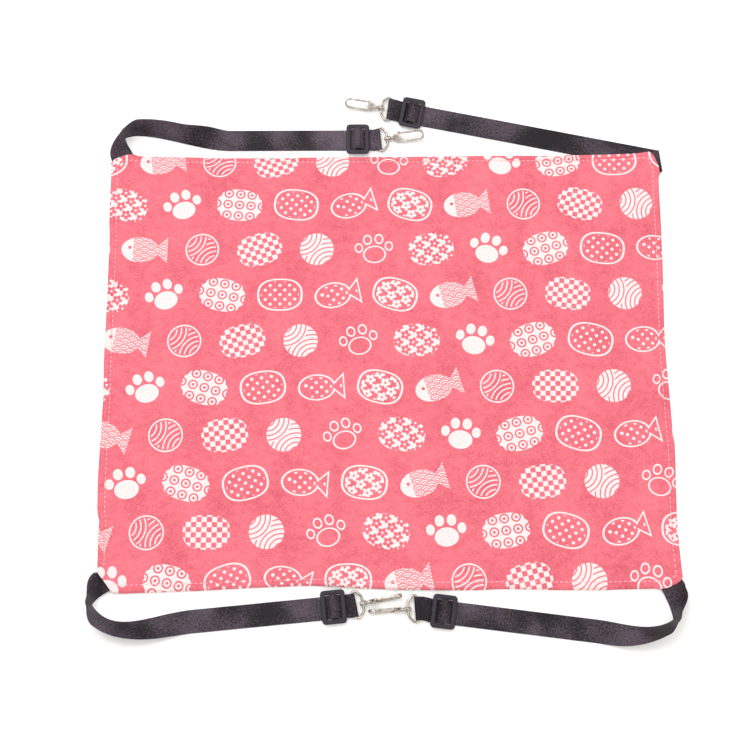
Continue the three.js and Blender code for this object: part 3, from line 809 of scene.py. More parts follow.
def station(middle, way, roll=0.0, slant=0.0):
    # a place on a strap: its middle, the line across it and the way that it faces
    left = unit(leftOf(way))
    roll, slant = (np.broadcast_to(np.asarray(k, float), len(way))[:, None] for k in (roll, slant))
    left = left * np.cos(roll) + np.cross(way, left) * np.sin(roll)
    across = (left * np.cos(slant) + way * np.sin(slant)) / np.cos(slant)
    return middle, across, unit(np.cross(way, left))


def turnedOver(stations):
    return stations[0], -stations[1], -stations[2]


def bridge(start, startWay, end, endWay, t):
    # a cubic between two places with given directions, and its slope
    t = t[:, None]
    point = start * (2 * t**3 - 3 * t**2 + 1) + startWay * (t**3 - 2 * t**2 + t)
    point = point + end * (3 * t**2 - 2 * t**3) + endWay * (t**3 - t**2)
    way = (start - end) * (6 * t**2 - 6 * t) + startWay * (3 * t**2 - 4 * t + 1) + endWay * (3 * t**2 - 2 * t)
    return point, way


def foldStations(m, t):
    # a half turn on a round of the fold's radius; the lines across the strap run along the fold's axis
    turn = np.pi * t[:, None]
    middle = m["start"] + m["outwards"] * m["radius"] * np.sin(turn) + m["axis"] * m["advance"] * t[:, None]
    middle = middle + up * -m["radius"] * (1 - np.cos(turn))
    face = up * np.cos(turn) + m["outwards"] * np.sin(turn)
    return middle, np.broadcast_to(m["line"] / m["steep"], middle.shape), face


def joined(*parts):
    return tuple(np.concatenate(arrays) for arrays in zip(*parts))


def underBend(m, c, mouth, landing):
    # out of the cut, over the fold and down to the floor on the fold's other side
    free = np.linalg.norm(m["start"] - mouth)
    t = np.linspace(0, 1, 14)[:-1]
    point, way = bridge(mouth, m["out"] * free, m["start"], m["into"] * free, t)
    neck = station(point, unit(way), 0, m["slant"] * t)
    fold = foldStations(m, np.linspace(0, 1, 41))
    t = np.linspace(0, 1, 70)[1:]
    first = fold[0][-1]
    bow = c["bowShare"] * np.linalg.norm((landing - first)[:2])
    point, way = bridge(first, m["back"] * bow, landing, m["ahead"] * bow, t)
    fall = first[2] - lowLayer
    point[:, 2] = lowLayer + fall * (1 - smooth(t))
    way[:, 2] = -fall * 6 * t * (1 - t)
    sweep = station(point, unit(way), 0, -m["slant"] * np.maximum(1 - t / c["fanShare"], 0))
    return joined(neck, fold, turnedOver(sweep)), len(neck[0]) + len(fold[0]) + 4


def twistPlace(m, c):
    # the middle of the blend lies between the joint's axis and the notch
    notch = np.array([*c["notch"], 0.0])
    return (m["start"] + (notch - m["start"]) * c["twistShare"]) * level + up * lowLayer


def softened(line, reach):
    # a weighted mean of each point and its neighbours, with the line turned about its ends beyond them
    window = np.hanning(2 * reach + 3)[1:-1]
    ends = [2 * line[:1] - line[reach:0:-1], line, 2 * line[-1:] - line[-2:-reach - 2:-1]]
    columns = np.concatenate(ends).T
    return np.stack([np.convolve(k, window / window.sum(), "valid") for k in columns], -1)


def standingAngle(c, toNotch, fromNotch):
    # in degrees: it rises to "lift" and then "stand" at the notch, falls to "lean" and "bank" after it,
    # and to 0 at the landing
    rising = c["lift"] * smooth(toNotch / standing["freed"])
    rising += (c["stand"] - c["lift"]) * smooth((toNotch - 1 + c["rise"]) / c["rise"])
    falling = c["bank"] * (1 - smooth((fromNotch - c["hold"]) / (1 - c["hold"])))
    falling += (c["lean"] - c["bank"]) * (1 - smooth(fromNotch / c["settle"]))
    falling += (c["stand"] - c["lean"]) * (1 - smooth(fromNotch / standing["drop"]))
    return np.where(toNotch < 1, rising, falling)


def edgeBend(m, c, landing):
    # the inner edge runs along the floor through the notch, and the strap stands up from it by its angle
    bend, half = c["side"][0] * c["side"][1], webbing["width"] / 2
    notch = np.array([*c["notch"], 0.0])
    begin = m["cutMiddle"] + bend * half * leftOf(m["out"])
    end = landing * level + bend * half * leftOf(m["ahead"])
    near, far = np.linalg.norm(notch - begin), np.linalg.norm(end - notch)
    pulls = [heading(c["toward"][k]) * near for k in (0, 1)]
    first, _ = bridge(begin, pulls[0], notch, pulls[1], np.linspace(0, 1, 40))
    pulls = [heading(c["away"]) * far * c["pull"][0], m["ahead"] * far * c["pull"][1]]
    second, _ = bridge(notch, pulls[0], end, pulls[1], np.linspace(0, 1, 120))
    notchAt = lengths(first)[-1]
    whole = notchAt + lengths(second)[-1]
    line = along(np.concatenate([first, second[1:]]), standing["spacing"])
    line = softened(line, standing["soften"])
    at = np.linspace(0, whole, len(line))
    toNotch, fromNotch = at / notchAt, (at - notchAt) / (whole - notchAt)
    angle = np.radians(standingAngle(c, toNotch, fromNotch))[:, None]
    outer = -bend * leftOf(unit(np.gradient(line, axis=0)))
    across = outer * np.cos(angle) + up * np.sin(angle)
    freed = smooth(toNotch / standing["freed"])[:, None]
    across = unit(-bend * leftOf(m["out"]) * (1 - freed) + across * freed)
    height = lowLayer + (tailHeight - lowLayer) * (1 - smooth(toNotch))
    middle = line * level + up * height[:, None] + across * half
    left = -bend * across
    face = unit(np.cross(unit(np.gradient(middle, axis=0)), left))
    edges = [middle + left * k - twistPlace(m, c) for k in (-half, half)]
    past = np.minimum(*[edge @ heading(c["twist"]) for edge in edges])
    cut = np.argmax((toNotch > 1) & (past > blendReach["after"] + blendReach["spare"]))
    return (middle, left, face), cut


def strapStations(m, c):
    # from inside the panel through the bend, down to the floor, and straight on to the slider
    mouth = m["cutMiddle"] + up * tailHeight
    tailAt = np.linspace(-webbing["tail"], 0, 10)[:-1, None]
    tail = station(mouth + m["out"] * tailAt, np.repeat(m["out"][None], len(tailAt), 0))
    landing = (m["middle"] - m["ahead"] * m["straight"]) * level + up * lowLayer
    end = m["middle"] + up * lowLayer - m["ahead"] * (slider["length"] / 2 + 2 * gap + webbing["thick"])
    share = np.linspace(0, 1, 50)[1:, None]
    straight = station(landing + (end - landing) * share, np.repeat(m["ahead"][None], len(share), 0))
    if "heading" in c:
        bend, cut = edgeBend(m, c, landing)
    else:
        bend, cut = underBend(m, c, mouth, landing)
        straight = turnedOver(straight)
    return joined(tail, bend, straight), len(tail[0]) + cut


def webbingSection(width, thick, columns=11):
    # a flat band with round selvedges
    r, h = thick / 2, width / 2
    flat = np.linspace(-(h - r), h - r, columns)
    turn = np.radians([60, 30, 0, -30, -60])
    edge = np.column_stack([h - r + r * np.cos(turn), r * np.sin(turn)])
    top = np.column_stack([flat, np.full(columns, r)])
    bottom = np.column_stack([flat[::-1], np.full(columns, -r)])
    return np.concatenate([top, edge, bottom, -edge])


bandSection = webbingSection(webbing["width"], webbing["thick"])


def band(stations, start=0.0):
    # the section carried through the stations, with lengths along and across it as its pattern
    middle, across, face = stations
    rings = middle[:, None] + across[:, None] * bandSection[:, :1] + face[:, None] * bandSection[:, 1:]
    run = start + lengths(middle)
    lean = np.einsum("ij,ij->i", across, unit(np.gradient(middle, axis=0)))
    u = run[:, None] + lean[:, None] * bandSection[:, 0]
    return tube(rings, pattern=np.dstack([u, np.broadcast_to(bandSection[:, 0], u.shape)])), run[-1]


def circle(x, y, radius, angles):
    return [[x + radius * math.cos(a), y + radius * math.sin(a)] for a in angles]


def loopPath(c):
    # the strap's last part in the slider's frame: over the middle bar, round the ring's bar, and back
    half = slider["length"] / 2
    inner = half - slider["endBar"]
    crest = wrapRadius + layer
    climb = circle(0, sliderMiddle, crest, math.pi * np.array([0.93, 0.8, 0.67, 0.53, 0.4, 0.27, 0.13]))
    over = [
        [-half - gap - webbing["thick"], lowLayer],
        [-inner - slider["endBar"] / 2, (lowLayer + highLayer) / 2], [-inner, highLayer - gap / 2], *climb,
        [(inner + crest) / 2, (sliderMiddle + sliderBottom) / 2], [inner - gap, highLayer + gap / 2],
        [inner + slider["endBar"] / 2, highLayer], [half, highLayer],
    ]
    ease = c["loop"] - turnRadius
    middle = (half + ease) / 2
    out = [[middle, (highLayer + barHeight + turnRadius) / 2 - webbing["clearance"]]]
    turn = circle(c["loop"], barHeight, turnRadius, np.pi / 2 - np.pi * np.arange(9) / 8)
    back = [[ease, lowLayer], [middle, lowLayer], [half, lowLayer], [2 * wrapRadius, lowLayer]]
    wrap = circle(0, sliderMiddle, wrapRadius, -np.pi / 2 - np.pi * np.arange(8) / 7)
    return curveThrough(np.array(over + out + turn + back + wrap), 4)


def endPlace(m):
    return placed(m["middle"], "z", math.degrees(math.atan2(m["ahead"][1], m["ahead"][0])))


def loopStations(c, m):
    # plain in the slider, and turned by the ring's yaw at its bar
    path = loopPath(c)
    reach = c["loop"] - turnRadius - slider["length"] / 2
    share = smooth((path[:, 0] - slider["length"] / 2) / reach)[:, None]
    yawed = heading(c["yaw"])
    plain = np.column_stack([path[:, 0], np.zeros(len(path)), path[:, 1]])
    atBar = np.array([c["loop"], 0, 0]) + yawed * (path[:, :1] - c["loop"]) + up * path[:, 1:]
    middle = plain * (1 - share) + atBar * share
    across = unit(np.array([0, 1.0, 0]) * (1 - share) + leftOf(yawed) * share)
    face = unit(np.cross(np.gradient(middle, axis=0), across))
    place = endPlace(m)
    turn = place[:3, :3].T
    return middle @ turn + place[:3, 3], across @ turn, face @ turn


# Sliders: a rounded frame between two rounded boxes, and a middle bar
def roundedBox(length, width, radius, arc=7, side=6):
    # quarter arcs joined by straight sides, with the same number of points whatever its size
    points = []
    for k, (sx, sy) in enumerate([(1, 1), (-1, 1), (-1, -1), (1, -1)]):
        centre = np.array([sx * (length / 2 - radius), sy * (width / 2 - radius)])
        turn = np.radians(90 * k + np.linspace(0, 90, arc))
        points.append(centre + radius * np.column_stack([np.cos(turn), np.sin(turn)]))
    full = []
    for k in range(4):
        step = np.linspace(0, 1, side + 1)[1:-1, None]
        full += [points[k], points[k][-1] * (1 - step) + points[(k + 1) % 4][0] * step]
    return np.concatenate(full)


def sliderShapes():
    # across the frame's wall the section is |a|^4 + |b|^4 = 1
    length, width = slider["length"] - 2 * slider["endBar"], sliderWidth - 2 * slider["rail"]
    outer = roundedBox(slider["length"], sliderWidth, slider["corner"])
    inner = roundedBox(length, width, slider["slotBend"])
    turn = 2 * np.pi * (np.arange(20) + 0.5) / 20
    reach, rise = power(np.cos(turn), 0.5), power(np.sin(turn), 0.5) * slider["thick"] / 2
    flat = (outer + inner)[:, None] / 2 + (outer - inner)[:, None] / 2 * reach[None, :, None]
    rim = np.dstack([flat, np.broadcast_to(rise, flat.shape[:2])])
    bar = np.linspace(-1, 1, 9)[:, None] * np.array([[0.0, width / 2 + slider["barRoot"]]])
    shapes = [tube(rim, looped=True), rod(bar, slider["midBar"] / 2, slider["thick"] / 2, 16, 0.6)]
    return placedAll(shapes, placed((0, 0, sliderMiddle)))


# Ring, hook, gate, pin and spring
def ringShapes(soft=0.4):
    # a wire round a flat bar, two arms and a narrow front, with a soft-edged collar for the hook's stud
    side = np.array([[0, ringBar / 2], [ring["arm"], ringBar / 2], [ring["depth"], ring["front"] / 2]])
    loop = roundedLoop(np.concatenate([side * [1, -1], side[::-1]]), ring["bend"], 7)
    path = along(loop, 0.7, looped=True)
    r, hole = eye["outer"] / 2, stud["shaft"] / 2 + gap
    collar = [[eyeStart, hole + soft], [eyeStart, r - soft], [eyeStart + soft * 0.3, r - soft * 0.3]]
    collar += [[eyeStart + soft, r], [eyeEnd - soft, r], [eyeEnd - soft * 0.3, r - soft * 0.3]]
    collar += [[eyeEnd, r - soft], [eyeEnd, hole + soft], [eyeEnd - soft, hole], [eyeStart + soft, hole]]
    return [rod(path, ringRadius, ringRadius, 14, looped=True), turned(collar, looped=True)]


clawRadius = (hook["width"] - hook["wall"]) / 2
crown = hook["length"] - clawRadius - hook["wall"] / 2
slotHalf = gate["tab"] / 2 + gap
springBottom = -pivotY + gate["lug"] + gap
springTop = springBottom + spring["length"] + gap
cheekShares = [
    [0.38, -0.48], [0.5, -0.72], [0.7, -0.82], [0.92, -0.82], [1, -0.64], [1, 0.32], [1.16, 0.56], [1.16, 1],
    [0.8, 0.94], [0.5, 0.7], [0.38, 0.48],
]


def hookShapes():
    # a stud and barrel turned about X, two cheeks with a back between them, and a claw of oval section
    headEnd = eyeStart - stud["headGap"]
    head, shaft, thick = stud["head"] / 2, stud["shaft"] / 2, hook["thick"] / 2
    tall, radius = stud["headLength"], eye["outer"] / 2
    collar, neck = hook["collar"], hookStart + hook["neck"]
    soft, low, high = hook["soft"], hook["inset"] - thick, thick - hook["inset"]
    barrel = [
        [headEnd - tall, 0.02], [headEnd - tall, head * 0.6], [headEnd - tall * 0.7, head * 0.9],
        [headEnd - tall * 0.35, head], [headEnd, head * 0.96], [headEnd, shaft], [hookStart, shaft],
        [hookStart, radius - 0.35], [hookStart + 0.35, radius], [hookStart + collar - 0.3, radius],
        [hookStart + collar, radius - 0.3], [hookStart + 1.3 * collar, 0.86 * thick],
        [hookStart + 2 * collar, 0.9 * thick], [neck, thick], [neck + 0.6, thick * 0.86], [neck + 1.0, 0.02],
    ]
    wide, cheekStart = hook["width"] / 2, hookStart + 0.38 * hook["base"]
    slotStart = hookStart + pivotX - gate["lug"]
    outline = np.array([[hookStart + x * hook["base"], y * wide] for x, y in cheekShares])
    cheeks = roundedLoop(outline, [0.5, 0.6, 0.7, 0.7, 0.5, 0.9, 0.4, 0.5, 1.2, 0.7, 0.5], 4)
    # the back is the cheeks' outline above the slot's floor
    floorAt = np.interp(cheeks[:, 0], [slotStart, hookStart + pivotX], [0, springTop])
    back = np.column_stack([cheeks[:, 0], np.maximum(cheeks[:, 1], floorAt)])
    rootEnd = slotStart - 2 * gap
    root = [[cheekStart, -0.48], [rootEnd, -0.66], [rootEnd, 0.6], [cheekStart, 0.48]]
    root = roundedLoop([[x, y * wide] for x, y in root], 0.3, 3)
    claw = clawPath()
    taper = np.ones(len(claw))
    taper[0], taper[-5:] = 0.9, [0.98, 0.93, 0.84, 0.68, 0.4]
    return [
        turned(barrel), plate(cheeks, slotHalf, thick, soft), plate(cheeks, -thick, -slotHalf, soft),
        plate(back, low, high, soft), plate(root, low, high, soft),
        rod(claw, hook["wall"] / 2, thick, 18, 0.8, ends=taper),
    ]


def clawPath(steps=24):
    # a straight shank, a half circle and a short nose
    turn = np.pi / 2 - np.pi * np.arange(steps + 1) / steps
    start, end = hookStart + hook["base"] - 0.5, hookStart + crown
    arc = np.column_stack([end + clawRadius * np.cos(turn), clawRadius * np.sin(turn)])
    shank = np.column_stack([np.linspace(start, end, 14)[:-1], np.full(13, clawRadius)])
    nose = np.column_stack([end - np.linspace(0.2, hook["nose"], 7), np.full(7, -clawRadius)])
    return np.concatenate([shank, arc, nose])


def gateShapes():
    # a thin tab with a thumb knob, and a thick arm that ends at the claw's nose
    line = pivotY - clawRadius
    rootX, lug = 2.4 * gate["lug"], gate["lug"]
    knob = [[-1, 0, 0], [-0.7, -0.7, 0], [0, -1, 0], [0.4, -1, -1], [1.5, -1, -1], [2, -1, -0.5]]
    outline = [[x * lug, y * lug + k * gate["knob"]] for x, y, k in knob]
    outline += [[rootX, line - gate["width"] / 2], [rootX, line + gate["width"] / 2]]
    outline += [[x * lug, y * lug] for x, y in ([1.4, 1], [0, 1], [-0.7, 0.7])]
    tab = plate(roundedLoop(outline, [0.3, 0.4, 0.3, 0.5, 0.5, 0.3, 0.3, 0.3, 0.2, 0.4, 0.4], 3),
                -gate["tab"] / 2, gate["tab"] / 2, 0.25)
    start, end = gate["pivotBack"] + 2 * gap, crown - hook["nose"] - gate["tipGap"] - pivotX
    path = np.column_stack([np.linspace(start, end, 22), np.full(22, line)])
    taper = np.ones(22)
    taper[:3], taper[-3:] = [0.7, 0.9, 0.98], [0.98, 0.9, 0.7]
    return [tab, rod(path, gate["width"] / 2, gate["arm"] / 2, 16, 0.75, ends=taper)]


def pinShapes():
    # a rivet with a low dome at each end
    r, h = pin["diameter"] / 2, hook["thick"] / 2
    dome = [[-h - 0.25, 0.02], [-h - 0.2, r * 0.9], [-h, r * 1.5], [-h + 0.05, r]]
    profile = dome + [[-x, y] for x, y in dome[::-1]]
    return [moved(turned(profile, 20), placed(axis="y", degrees=-90))]


def springShapes(perTurn=18, sides=8):
    # a wire's round section carried up a helix about Y
    wire, upwards = spring["wire"], np.array([0, 1.0, 0])
    t = np.arange(spring["turns"] * perTurn + 1) / perTurn
    spoke = np.stack([np.cos(2 * np.pi * t), np.zeros(len(t)), np.sin(2 * np.pi * t)], -1)
    rise = wire / 2 + (spring["length"] - wire) * t / spring["turns"]
    middle = spoke * (spring["diameter"] - wire) / 2 + upwards * rise[:, None]
    a = 2 * np.pi * np.arange(sides)[:, None] / sides
    return [tube(middle[:, None] + wire / 2 * (spoke[:, None] * np.cos(a) + upwards * np.sin(a)))]


sliderParts, ringParts, hookParts = sliderShapes(), ringShapes(), hookShapes()
gateParts, pinParts, springParts = gateShapes(), pinShapes(), springShapes()


# Each part's label, shapes, place, slot, material and the body that it rides on
madeParts = (
    ("slider", sliderParts, "slider", "plastic", plastic, "adjuster"),
    ("hook_ring", ringParts, "ring", "nickel", nickel, "ring"),
    ("hook_body", hookParts, "hook", "nickel", nickel, "hook"),
    ("hook_gate", gateParts, "pivot", "nickel", nickel, "gate"),
    ("gate_pin", pinParts, "pivot", "steel", steel, "hook"),
    ("gate_spring", springParts, "coil", "steel", steel, "hook"),
)


def strapPiece(name, label, shape):
    made = piece(name + "Strap" + label.capitalize(), [shape], "webbing", woven, sharp=50)
    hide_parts(f"{name}_strap_{label}")
    return made


def spanOf(near, far):
    # the two ends of a soft stretch, in metres
    return (near * mm).tolist(), (far * mm).tolist()


def strap(name, c, m):
    # three pieces, since a joint lies between them, with the ends of the stretch between each body and the
    # next
    stations, cut = strapStations(m, c)
    folded, reached = band(tuple(k[:cut] for k in stations), c["weave"])
    run, reached = band(tuple(k[cut - 1:] for k in stations), reached)
    loop, _ = band(loopStations(c, m), reached)
    if "twist" in c:
        middle, way = twistPlace(m, c), heading(c["twist"])
        span = spanOf(middle - way * blendReach["before"], middle + way * blendReach["after"])
    else:
        inFold = blendReach["inFold"]
        span = spanOf(m["start"] - up * inFold, m["start"] + up * (inFold - 2 * m["radius"]))
    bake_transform(strapPiece(name, "fold", folded))
    span = spanOf(stations[0][cut], stations[0][-1])
    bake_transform(strapPiece(name, "run", run))
    ends = slider["length"] / 2 + blendReach["pastSlider"], c["loop"] - turnRadius
    span = spanOf(*[(endPlace(m) @ np.array([x, 0, lowLayer, 1]))[:3] for x in ends])
    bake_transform(strapPiece(name, "loop", loop))


def hardware(name, c, m):
    place = endPlace(m)
    yawed = placed((c["loop"], 0, barHeight), "z", c["yaw"])
    ringPlace = place @ yawed @ placed(axis="y", degrees=-c["pitch"])
    hookPlace = ringPlace @ placed(axis="x", degrees=c["roll"])
    places = {
        "slider": place, "ring": ringPlace, "hook": hookPlace,
        "pivot": hookPlace @ placed((hookStart + pivotX, -pivotY, 0)),
        "coil": hookPlace @ placed((hookStart + pivotX + spring["along"], springBottom, 0)),
    }
    for label, shapes, at, slotName, finish, body in madeParts:
        words = "".join(w.capitalize() for w in label.split("_"))
        made = piece(name + words, placedAll(shapes, places[at]), slotName, finish, sharp=50)
        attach(made, f"{name}_{body}")
        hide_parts(f"{name}_{label}")


for name, c in corners.items():
    strap(name, c, measured[name])
    hardware(name, c, measured[name])
print("straps, sliders and hooks made")

# The panel: two cloths on one grid whose four sides run between the middles of the cut corners. Each wave
# is the edge's shift at places along it, each crease a line's ends with its width and height.
sheetGrid = {
    "edgeMarks": [0, 0.3, 0.8, 1.4, 2.1, 2.9, 3.7, 4.5, 5.2, 6.0, 7.0, 8.4], "across": 156, "down": 124,
    "rounding": 3.0,
}
shape = {
    "roll": 2.4, "lip": 1.95, "fleeceLip": 1.65, "stitchInset": 6.0, "stitchDip": 0.95, "puff": 0.55,
    "pucker": 0.14, "swell": 0.35, "mouthHalf": 11.0, "mouthFade": 4.0, "ripple": 0.55, "edgeFade": 14,
    "tailTop": 1.9, "tailLow": 0.35, "overStrap": 1.58, "clear": 0.12, "thinnest": 0.25,
    "leftTuck": (-140, 5, 1.3),
    "creases": [
        (((-236, 172), (-240, 74)), 5.5, 1.3), (((-247, -141), (-170, -137)), 3.2, 1.1),
        (((-225, 150), (-205, 60)), 9, 0.5), (((60, -150), (150, -120)), 11, 0.5),
        (((238, 60), (232, -60)), 7, 0.6),
    ],
    "frontWave": (
        [-250, -227, -165, -119, -65, -50, -20, 5, 70, 105, 180, 215, 250],
        [-1.2, -2.6, -1, 1.6, 3.3, 2.5, 0.5, -1, -1.7, -1, -2.3, -1.5, 0],
    ),
    "backWave": (
        [-250, -200, -160, -100, -60, 0, 150, 200, 240, 250],
        [0, -1.5, -2.9, -3, -2.2, -2.2, -1.2, -1, 1, 0.6],
    ),
    "leftWave": (
        [-190, -165, -150, -130, -75, -60, -30, 40, 70, 120, 135, 165, 190],
        [0.5, 0.3, 0, -1.8, -1.8, -1.3, -0.4, -0.6, -0.6, -0.5, -1.3, -1.2, -0.9],
    ),
    "rightWave": (
        [-180, -160, -140, -120, -95, -75, -60, -20, 30, 60, 100, 150, 190],
        [0, -0.9, -1.8, -0.9, 0, 0, -1.2, -2.3, -3.4, -2.7, -1.8, -1.2, -0.9],
    ),
}
halfLength, halfWidth = panel["length"] / 2, panel["width"] / 2


def clothOutline():
    # two points at each cut corner, in order round the panel
    points = []
    for k, name in enumerate(["front_left", "front_right", "back_right", "back_left"]):
        sx, sy = corners[name]["side"]
        legX, legY = measured[name]["legs"]
        x, y = sx * halfLength, sy * halfWidth
        pair = [[x, y - sy * legY], [x - sx * legX, y]]
        points += pair if k % 2 == 0 else pair[::-1]
    return np.array(points)


outlinePoints = clothOutline()


def insetOutline(inset):
    # each side moved inwards, and its neighbours cut where they meet
    before = np.roll(outlinePoints, 1, 0)
    way = unit(outlinePoints - before)
    normal = leftOf(way)[:, :2]
    offset = np.einsum("ij,ij->i", normal, before) + inset
    after, afterOffset = np.roll(normal, -1, 0), np.roll(offset, -1)
    det = normal[:, 0] * after[:, 1] - normal[:, 1] * after[:, 0]
    x = (offset * after[:, 1] - afterOffset * normal[:, 1]) / det
    y = (normal[:, 0] * afterOffset - after[:, 0] * offset) / det
    return np.column_stack([x, y])


def edgeDistance(xy):
    # the smallest distance to the outline's eight sides
    after = np.roll(outlinePoints, -1, 0)
    way = unit(after - outlinePoints)
    normal = leftOf(way)[:, :2]
    inside = (xy[..., None, :] - outlinePoints) * normal
    return np.maximum(inside.sum(-1).min(-1), 0)


def side(first, second, marks):
    # the outline between the middles of two cuts, with points at the marks
    loop = roundedLoop(outlinePoints, sheetGrid["rounding"], 6)
    a, b = (measured[name]["cutMiddle"][:2] for name in (first, second))
    loop = np.roll(loop, -np.argmin(np.linalg.norm(loop - a, axis=1)), 0)
    nearB = np.argmin(np.linalg.norm(loop - b, axis=1))
    ahead = loop[1:nearB] if nearB > 0 else loop[1:]
    keep = [p for p in ahead if (p - a) @ (b - a) > 0 and (p - b) @ (a - b) > 0]
    line = np.array([a, *keep, b])
    run = lengths(line)
    return pointsAt(line, run, marks * run[-1])


def marksFor(length, count):
    edge = np.array(sheetGrid["edgeMarks"], float)
    inner = np.linspace(edge[-1], length - edge[-1], count)[1:-1]
    return np.concatenate([edge, inner, length - edge[::-1]]) / length


def clothGrid():
    # a Coons patch: opposite sides are mixed, and the mixed corners taken off
    u, v = marksFor(panel["length"], sheetGrid["across"]), marksFor(panel["width"], sheetGrid["down"])
    front = side("front_left", "front_right", u)
    rightSide = side("front_right", "back_right", v)
    backSide = side("back_right", "back_left", u)[::-1]
    leftSide = side("back_left", "front_left", v)[::-1]
    a, b = u[:, None, None], v[None, :, None]
    across = (1 - b) * front[:, None] + b * backSide[:, None]
    mixedSides = across + (1 - a) * leftSide[None] + a * rightSide[None]
    frontEnds = (1 - a) * (1 - b) * front[0] + a * (1 - b) * front[-1]
    return mixedSides - (frontEnds + (1 - a) * b * backSide[0] + a * b * backSide[-1])


def waviness(x, y, waves, low, high):
    # a sum of plane sine waves whose height falls as they get shorter
    total = np.zeros_like(x)
    for _ in range(waves):
        length = low * (high / low) ** rng.random()
        angle, phase = rng.random(2) * 2 * np.pi
        off = x * math.cos(angle) + y * math.sin(angle)
        total += (length / high) * np.sin(off * 2 * np.pi / length + phase)
    return total / math.sqrt(waves)


def hump(off, width):
    return np.exp(-((off / width) ** 2))


def nearEdge(distance):
    return np.exp(-distance / shape["edgeFade"])


def ridge(x, y, ends, width, height):
    # a soft fold along a line, highest in its middle
    (x0, y0), (x1, y1) = ends
    span = math.hypot(x1 - x0, y1 - y0)
    t = ((x - x0) * (x1 - x0) + (y - y0) * (y1 - y0)) / span**2
    off = ((x - x0) * (y1 - y0) - (y - y0) * (x1 - x0)) / span
    return height * hump(off, width) * np.exp(-(((t - 0.5) / 0.42) ** 4))


def beside(xy, middle, way):
    # 1 over a strap that runs through middle, falling to 0 beside it, and the distance ahead of middle
    ahead, off = (xy - middle[:2]) @ way[:2], np.abs((xy - middle[:2]) @ leftOf(way)[:2])
    return 1 - smooth((off - shape["mouthHalf"]) / shape["mouthFade"]), ahead


def mouths(xy):
    # 1 over each strap's tail and out to its cut, falling to 0 beside it
    total = np.zeros(xy.shape[:-1])
    for m in measured.values():
        over, ahead = beside(xy, m["cutMiddle"], m["out"])
        total = np.maximum(total, over * smooth((ahead + webbing["tail"] + 6) / 5))
    return total


def underPath(xy):
    # 1 over the strap that passes under the panel, falling to 0 beside it
    m = measured["back_right"]
    over, ahead = beside(xy, foldStations(m, np.array([1.0]))[0][0], m["ahead"])
    return over * smooth((ahead + 6) / 3)


flatGrid = clothGrid()
x, y = flatGrid[..., 0], flatGrid[..., 1]
edge = edgeDistance(flatGrid)
fromStitch = edge - shape["stitchInset"]
mouth, beneath = mouths(flatGrid), underPath(flatGrid)
swell = waviness(x, y, 26, 45, 210) * shape["swell"] * smooth(edge / 40)
folds = sum(ridge(x, y, *crease) for crease in shape["creases"])
pucker = waviness(x, y, 30, 7, 22) * shape["pucker"] * hump(fromStitch, 5)
stitchDip = shape["stitchDip"] * hump(fromStitch, 1.0)
puff = shape["puff"] * np.sin(np.pi * np.clip(edge / shape["stitchInset"], 0, 1))
rounded = np.sqrt(1 - (1 - np.clip(edge / shape["roll"], 0, 1)) ** 2)
lift = 0.5 * mouth + 0.7 * beneath

# The sides' waves: a fine ripple, a tuck in the left side, and the photographed shifts
edgeWave = nearEdge(halfLength - np.abs(x)) * (1 - (np.abs(y) / halfWidth) ** 6)
sideWave = nearEdge(halfWidth - np.abs(y)) * (1 - (np.abs(x) / halfLength) ** 8)
shiftX = waviness(y, y * 0, 9, 30, 130) * shape["ripple"] * edgeWave
tuckAt, tuckWidth, tuckDepth = shape["leftTuck"]
shiftX += tuckDepth * edgeWave * hump(y - tuckAt, tuckWidth) * (x < 0)
shiftY = waviness(x, x * 0, 11, 30, 150) * shape["ripple"] * sideWave
shiftY += np.interp(x, *shape["frontWave"]) * nearEdge(halfWidth + y)
shiftY += np.interp(x, *shape["backWave"]) * nearEdge(halfWidth - y)
shiftX += np.interp(y, *shape["leftWave"]) * nearEdge(halfLength + x)
shiftX += np.interp(y, *shape["rightWave"]) * nearEdge(halfLength - x)
for name, c in corners.items():
    m = measured[name]
    inside = np.maximum(-(flatGrid - m["cutMiddle"][:2]) @ m["out"][:2], 0)
    off = np.abs((flatGrid - m["cutMiddle"][:2]) @ leftOf(m["out"])[:2])
    bulge = c["bulge"] * hump(inside, 16) * (1 - smooth((off - 3) / 13))
    shiftX, shiftY = shiftX + bulge * m["out"][0], shiftY + bulge * m["out"][1]
bent = np.stack([x + shiftX, y + shiftY], -1)


def blended(low, high, share):
    return low + (high - low) * share


topFlat = canvasTop + swell + folds + pucker - stitchDip * (1 - mouth) + puff * (1 - mouth) + lift
lipTop = blended(shape["lip"], canvasTop - 0.1 + lift, mouth)
topHeight = blended(lipTop, topFlat, rounded)
under = topHeight - panel["canvas"] * (0.25 + 0.75 * smooth(edge / 2.5))
fleeceTop = np.minimum(blended(panel["fleece"], shape["tailTop"], mouth), under - shape["clear"])
fleeceLow = blended(shape["fleeceLip"], shape["tailLow"], mouth) * (1 - rounded)
fleeceLow = np.maximum(fleeceLow, beneath * shape["overStrap"])
fleeceLow = np.minimum(fleeceLow, fleeceTop - shape["thinnest"])


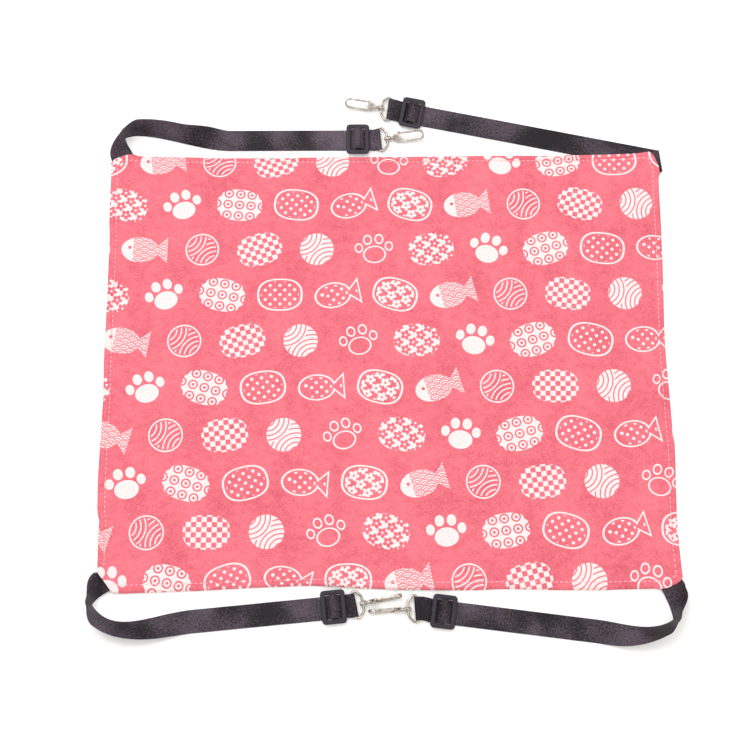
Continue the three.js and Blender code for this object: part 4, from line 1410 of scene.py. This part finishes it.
def shell(high, low, name, slotName, finish):
    # a grid's top, its bottom, and a strip that joins their rims
    rows, columns = high.shape
    points = np.concatenate([np.dstack([bent, high]).reshape(-1, 3), np.dstack([bent, low]).reshape(-1, 3)])
    index = np.arange(rows * columns).reshape(rows, columns)
    quads = np.stack([index[:-1, :-1], index[1:, :-1], index[1:, 1:], index[:-1, 1:]], -1).reshape(-1, 4)
    rim = np.concatenate([index[:-1, 0], index[-1, :-1], index[:0:-1, -1], index[0, :0:-1]])
    after = np.roll(rim, -1)
    lower = rows * columns
    strip = np.stack([rim, rim + lower, after + lower, after], -1)
    faces = quads.tolist() + (quads[:, ::-1] + lower).tolist() + strip.tolist()
    pattern = np.concatenate([flatGrid.reshape(-1, 2)] * 2)
    made = piece(name, [(points, faces, pattern)], slotName, finish, sharp=60)
    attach(made, "panel")
    return made


front = shell(topHeight, under, "frontCanvas", "canvas", cloth)
back = shell(fleeceTop, fleeceLow, "backFleece", "fleece", pile)
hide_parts("front_canvas")
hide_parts("back_fleece")
print("cloths made", len(front.data.polygons), "faces each")

# Topstitching: short stitches that dip into the cloth at both ends, in shares of a stitch's length
sewing = {
    "pitch": 4.2, "stitch": 2.9, "radius": 0.36, "lift": 0.3, "sunk": 0.2, "bend": 3.0,
    "shares": [0.0, 0.06, 0.2, 0.5, 0.8, 0.94, 1.0], "taper": [0.15, 0.7, 1.0, 1.05, 1.0, 0.7, 0.15],
}


def clothAt(points, chunk=256):
    # the top cloth's height and its shift in X and Y: a mean of the three nearest grid points
    flat, values = flatGrid.reshape(-1, 2), np.dstack([topHeight, shiftX, shiftY]).reshape(-1, 3)
    found = np.empty((len(points), 3))
    for k in range(0, len(points), chunk):
        gapTo = np.linalg.norm(flat[None] - points[k:k + chunk, None], axis=-1)
        nearest = np.argpartition(gapTo, 3, axis=1)[:, :3]
        weight = (1 / (np.take_along_axis(gapTo, nearest, 1) + 0.05))[..., None]
        found[k:k + chunk] = (values[nearest] * weight).sum(1) / weight.sum(1)
    return found


def stitches(s, sides=6):
    # an oval section carried over each stitch, whose height is a sine of its share to the power 0.7
    line = closed(roundedLoop(insetOutline(shape["stitchInset"]), s["bend"], 4))
    run = lengths(line)
    count = int(run[-1] / s["pitch"])
    t = np.array(s["shares"])
    at = np.mod((np.arange(count) * run[-1] / count)[:, None] + t * s["stitch"], run[-1])
    xy = pointsAt(line, run, at)
    left = leftOf(unit(xy[:, -1] - xy[:, 0]))
    found = clothAt(xy[:, 3])
    height = found[:, :1] + s["lift"] * np.sin(np.pi * t) ** 0.7 - s["sunk"]
    middle = np.dstack([xy + found[:, None, 1:], height])
    radius = s["radius"] * np.array(s["taper"])
    turn = (2 * np.pi * np.arange(sides) / sides)[:, None]
    oval = left[:, None, None] * np.cos(turn) + up * np.sin(turn) * 0.75
    rings = middle[:, :, None] + radius[:, None, None] * oval
    return piece("topstitch", [tube(r) for r in rings], "thread", thread)


stitching = stitches(sewing)
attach(stitching, "panel")
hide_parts("topstitch")
print("topstitching made")
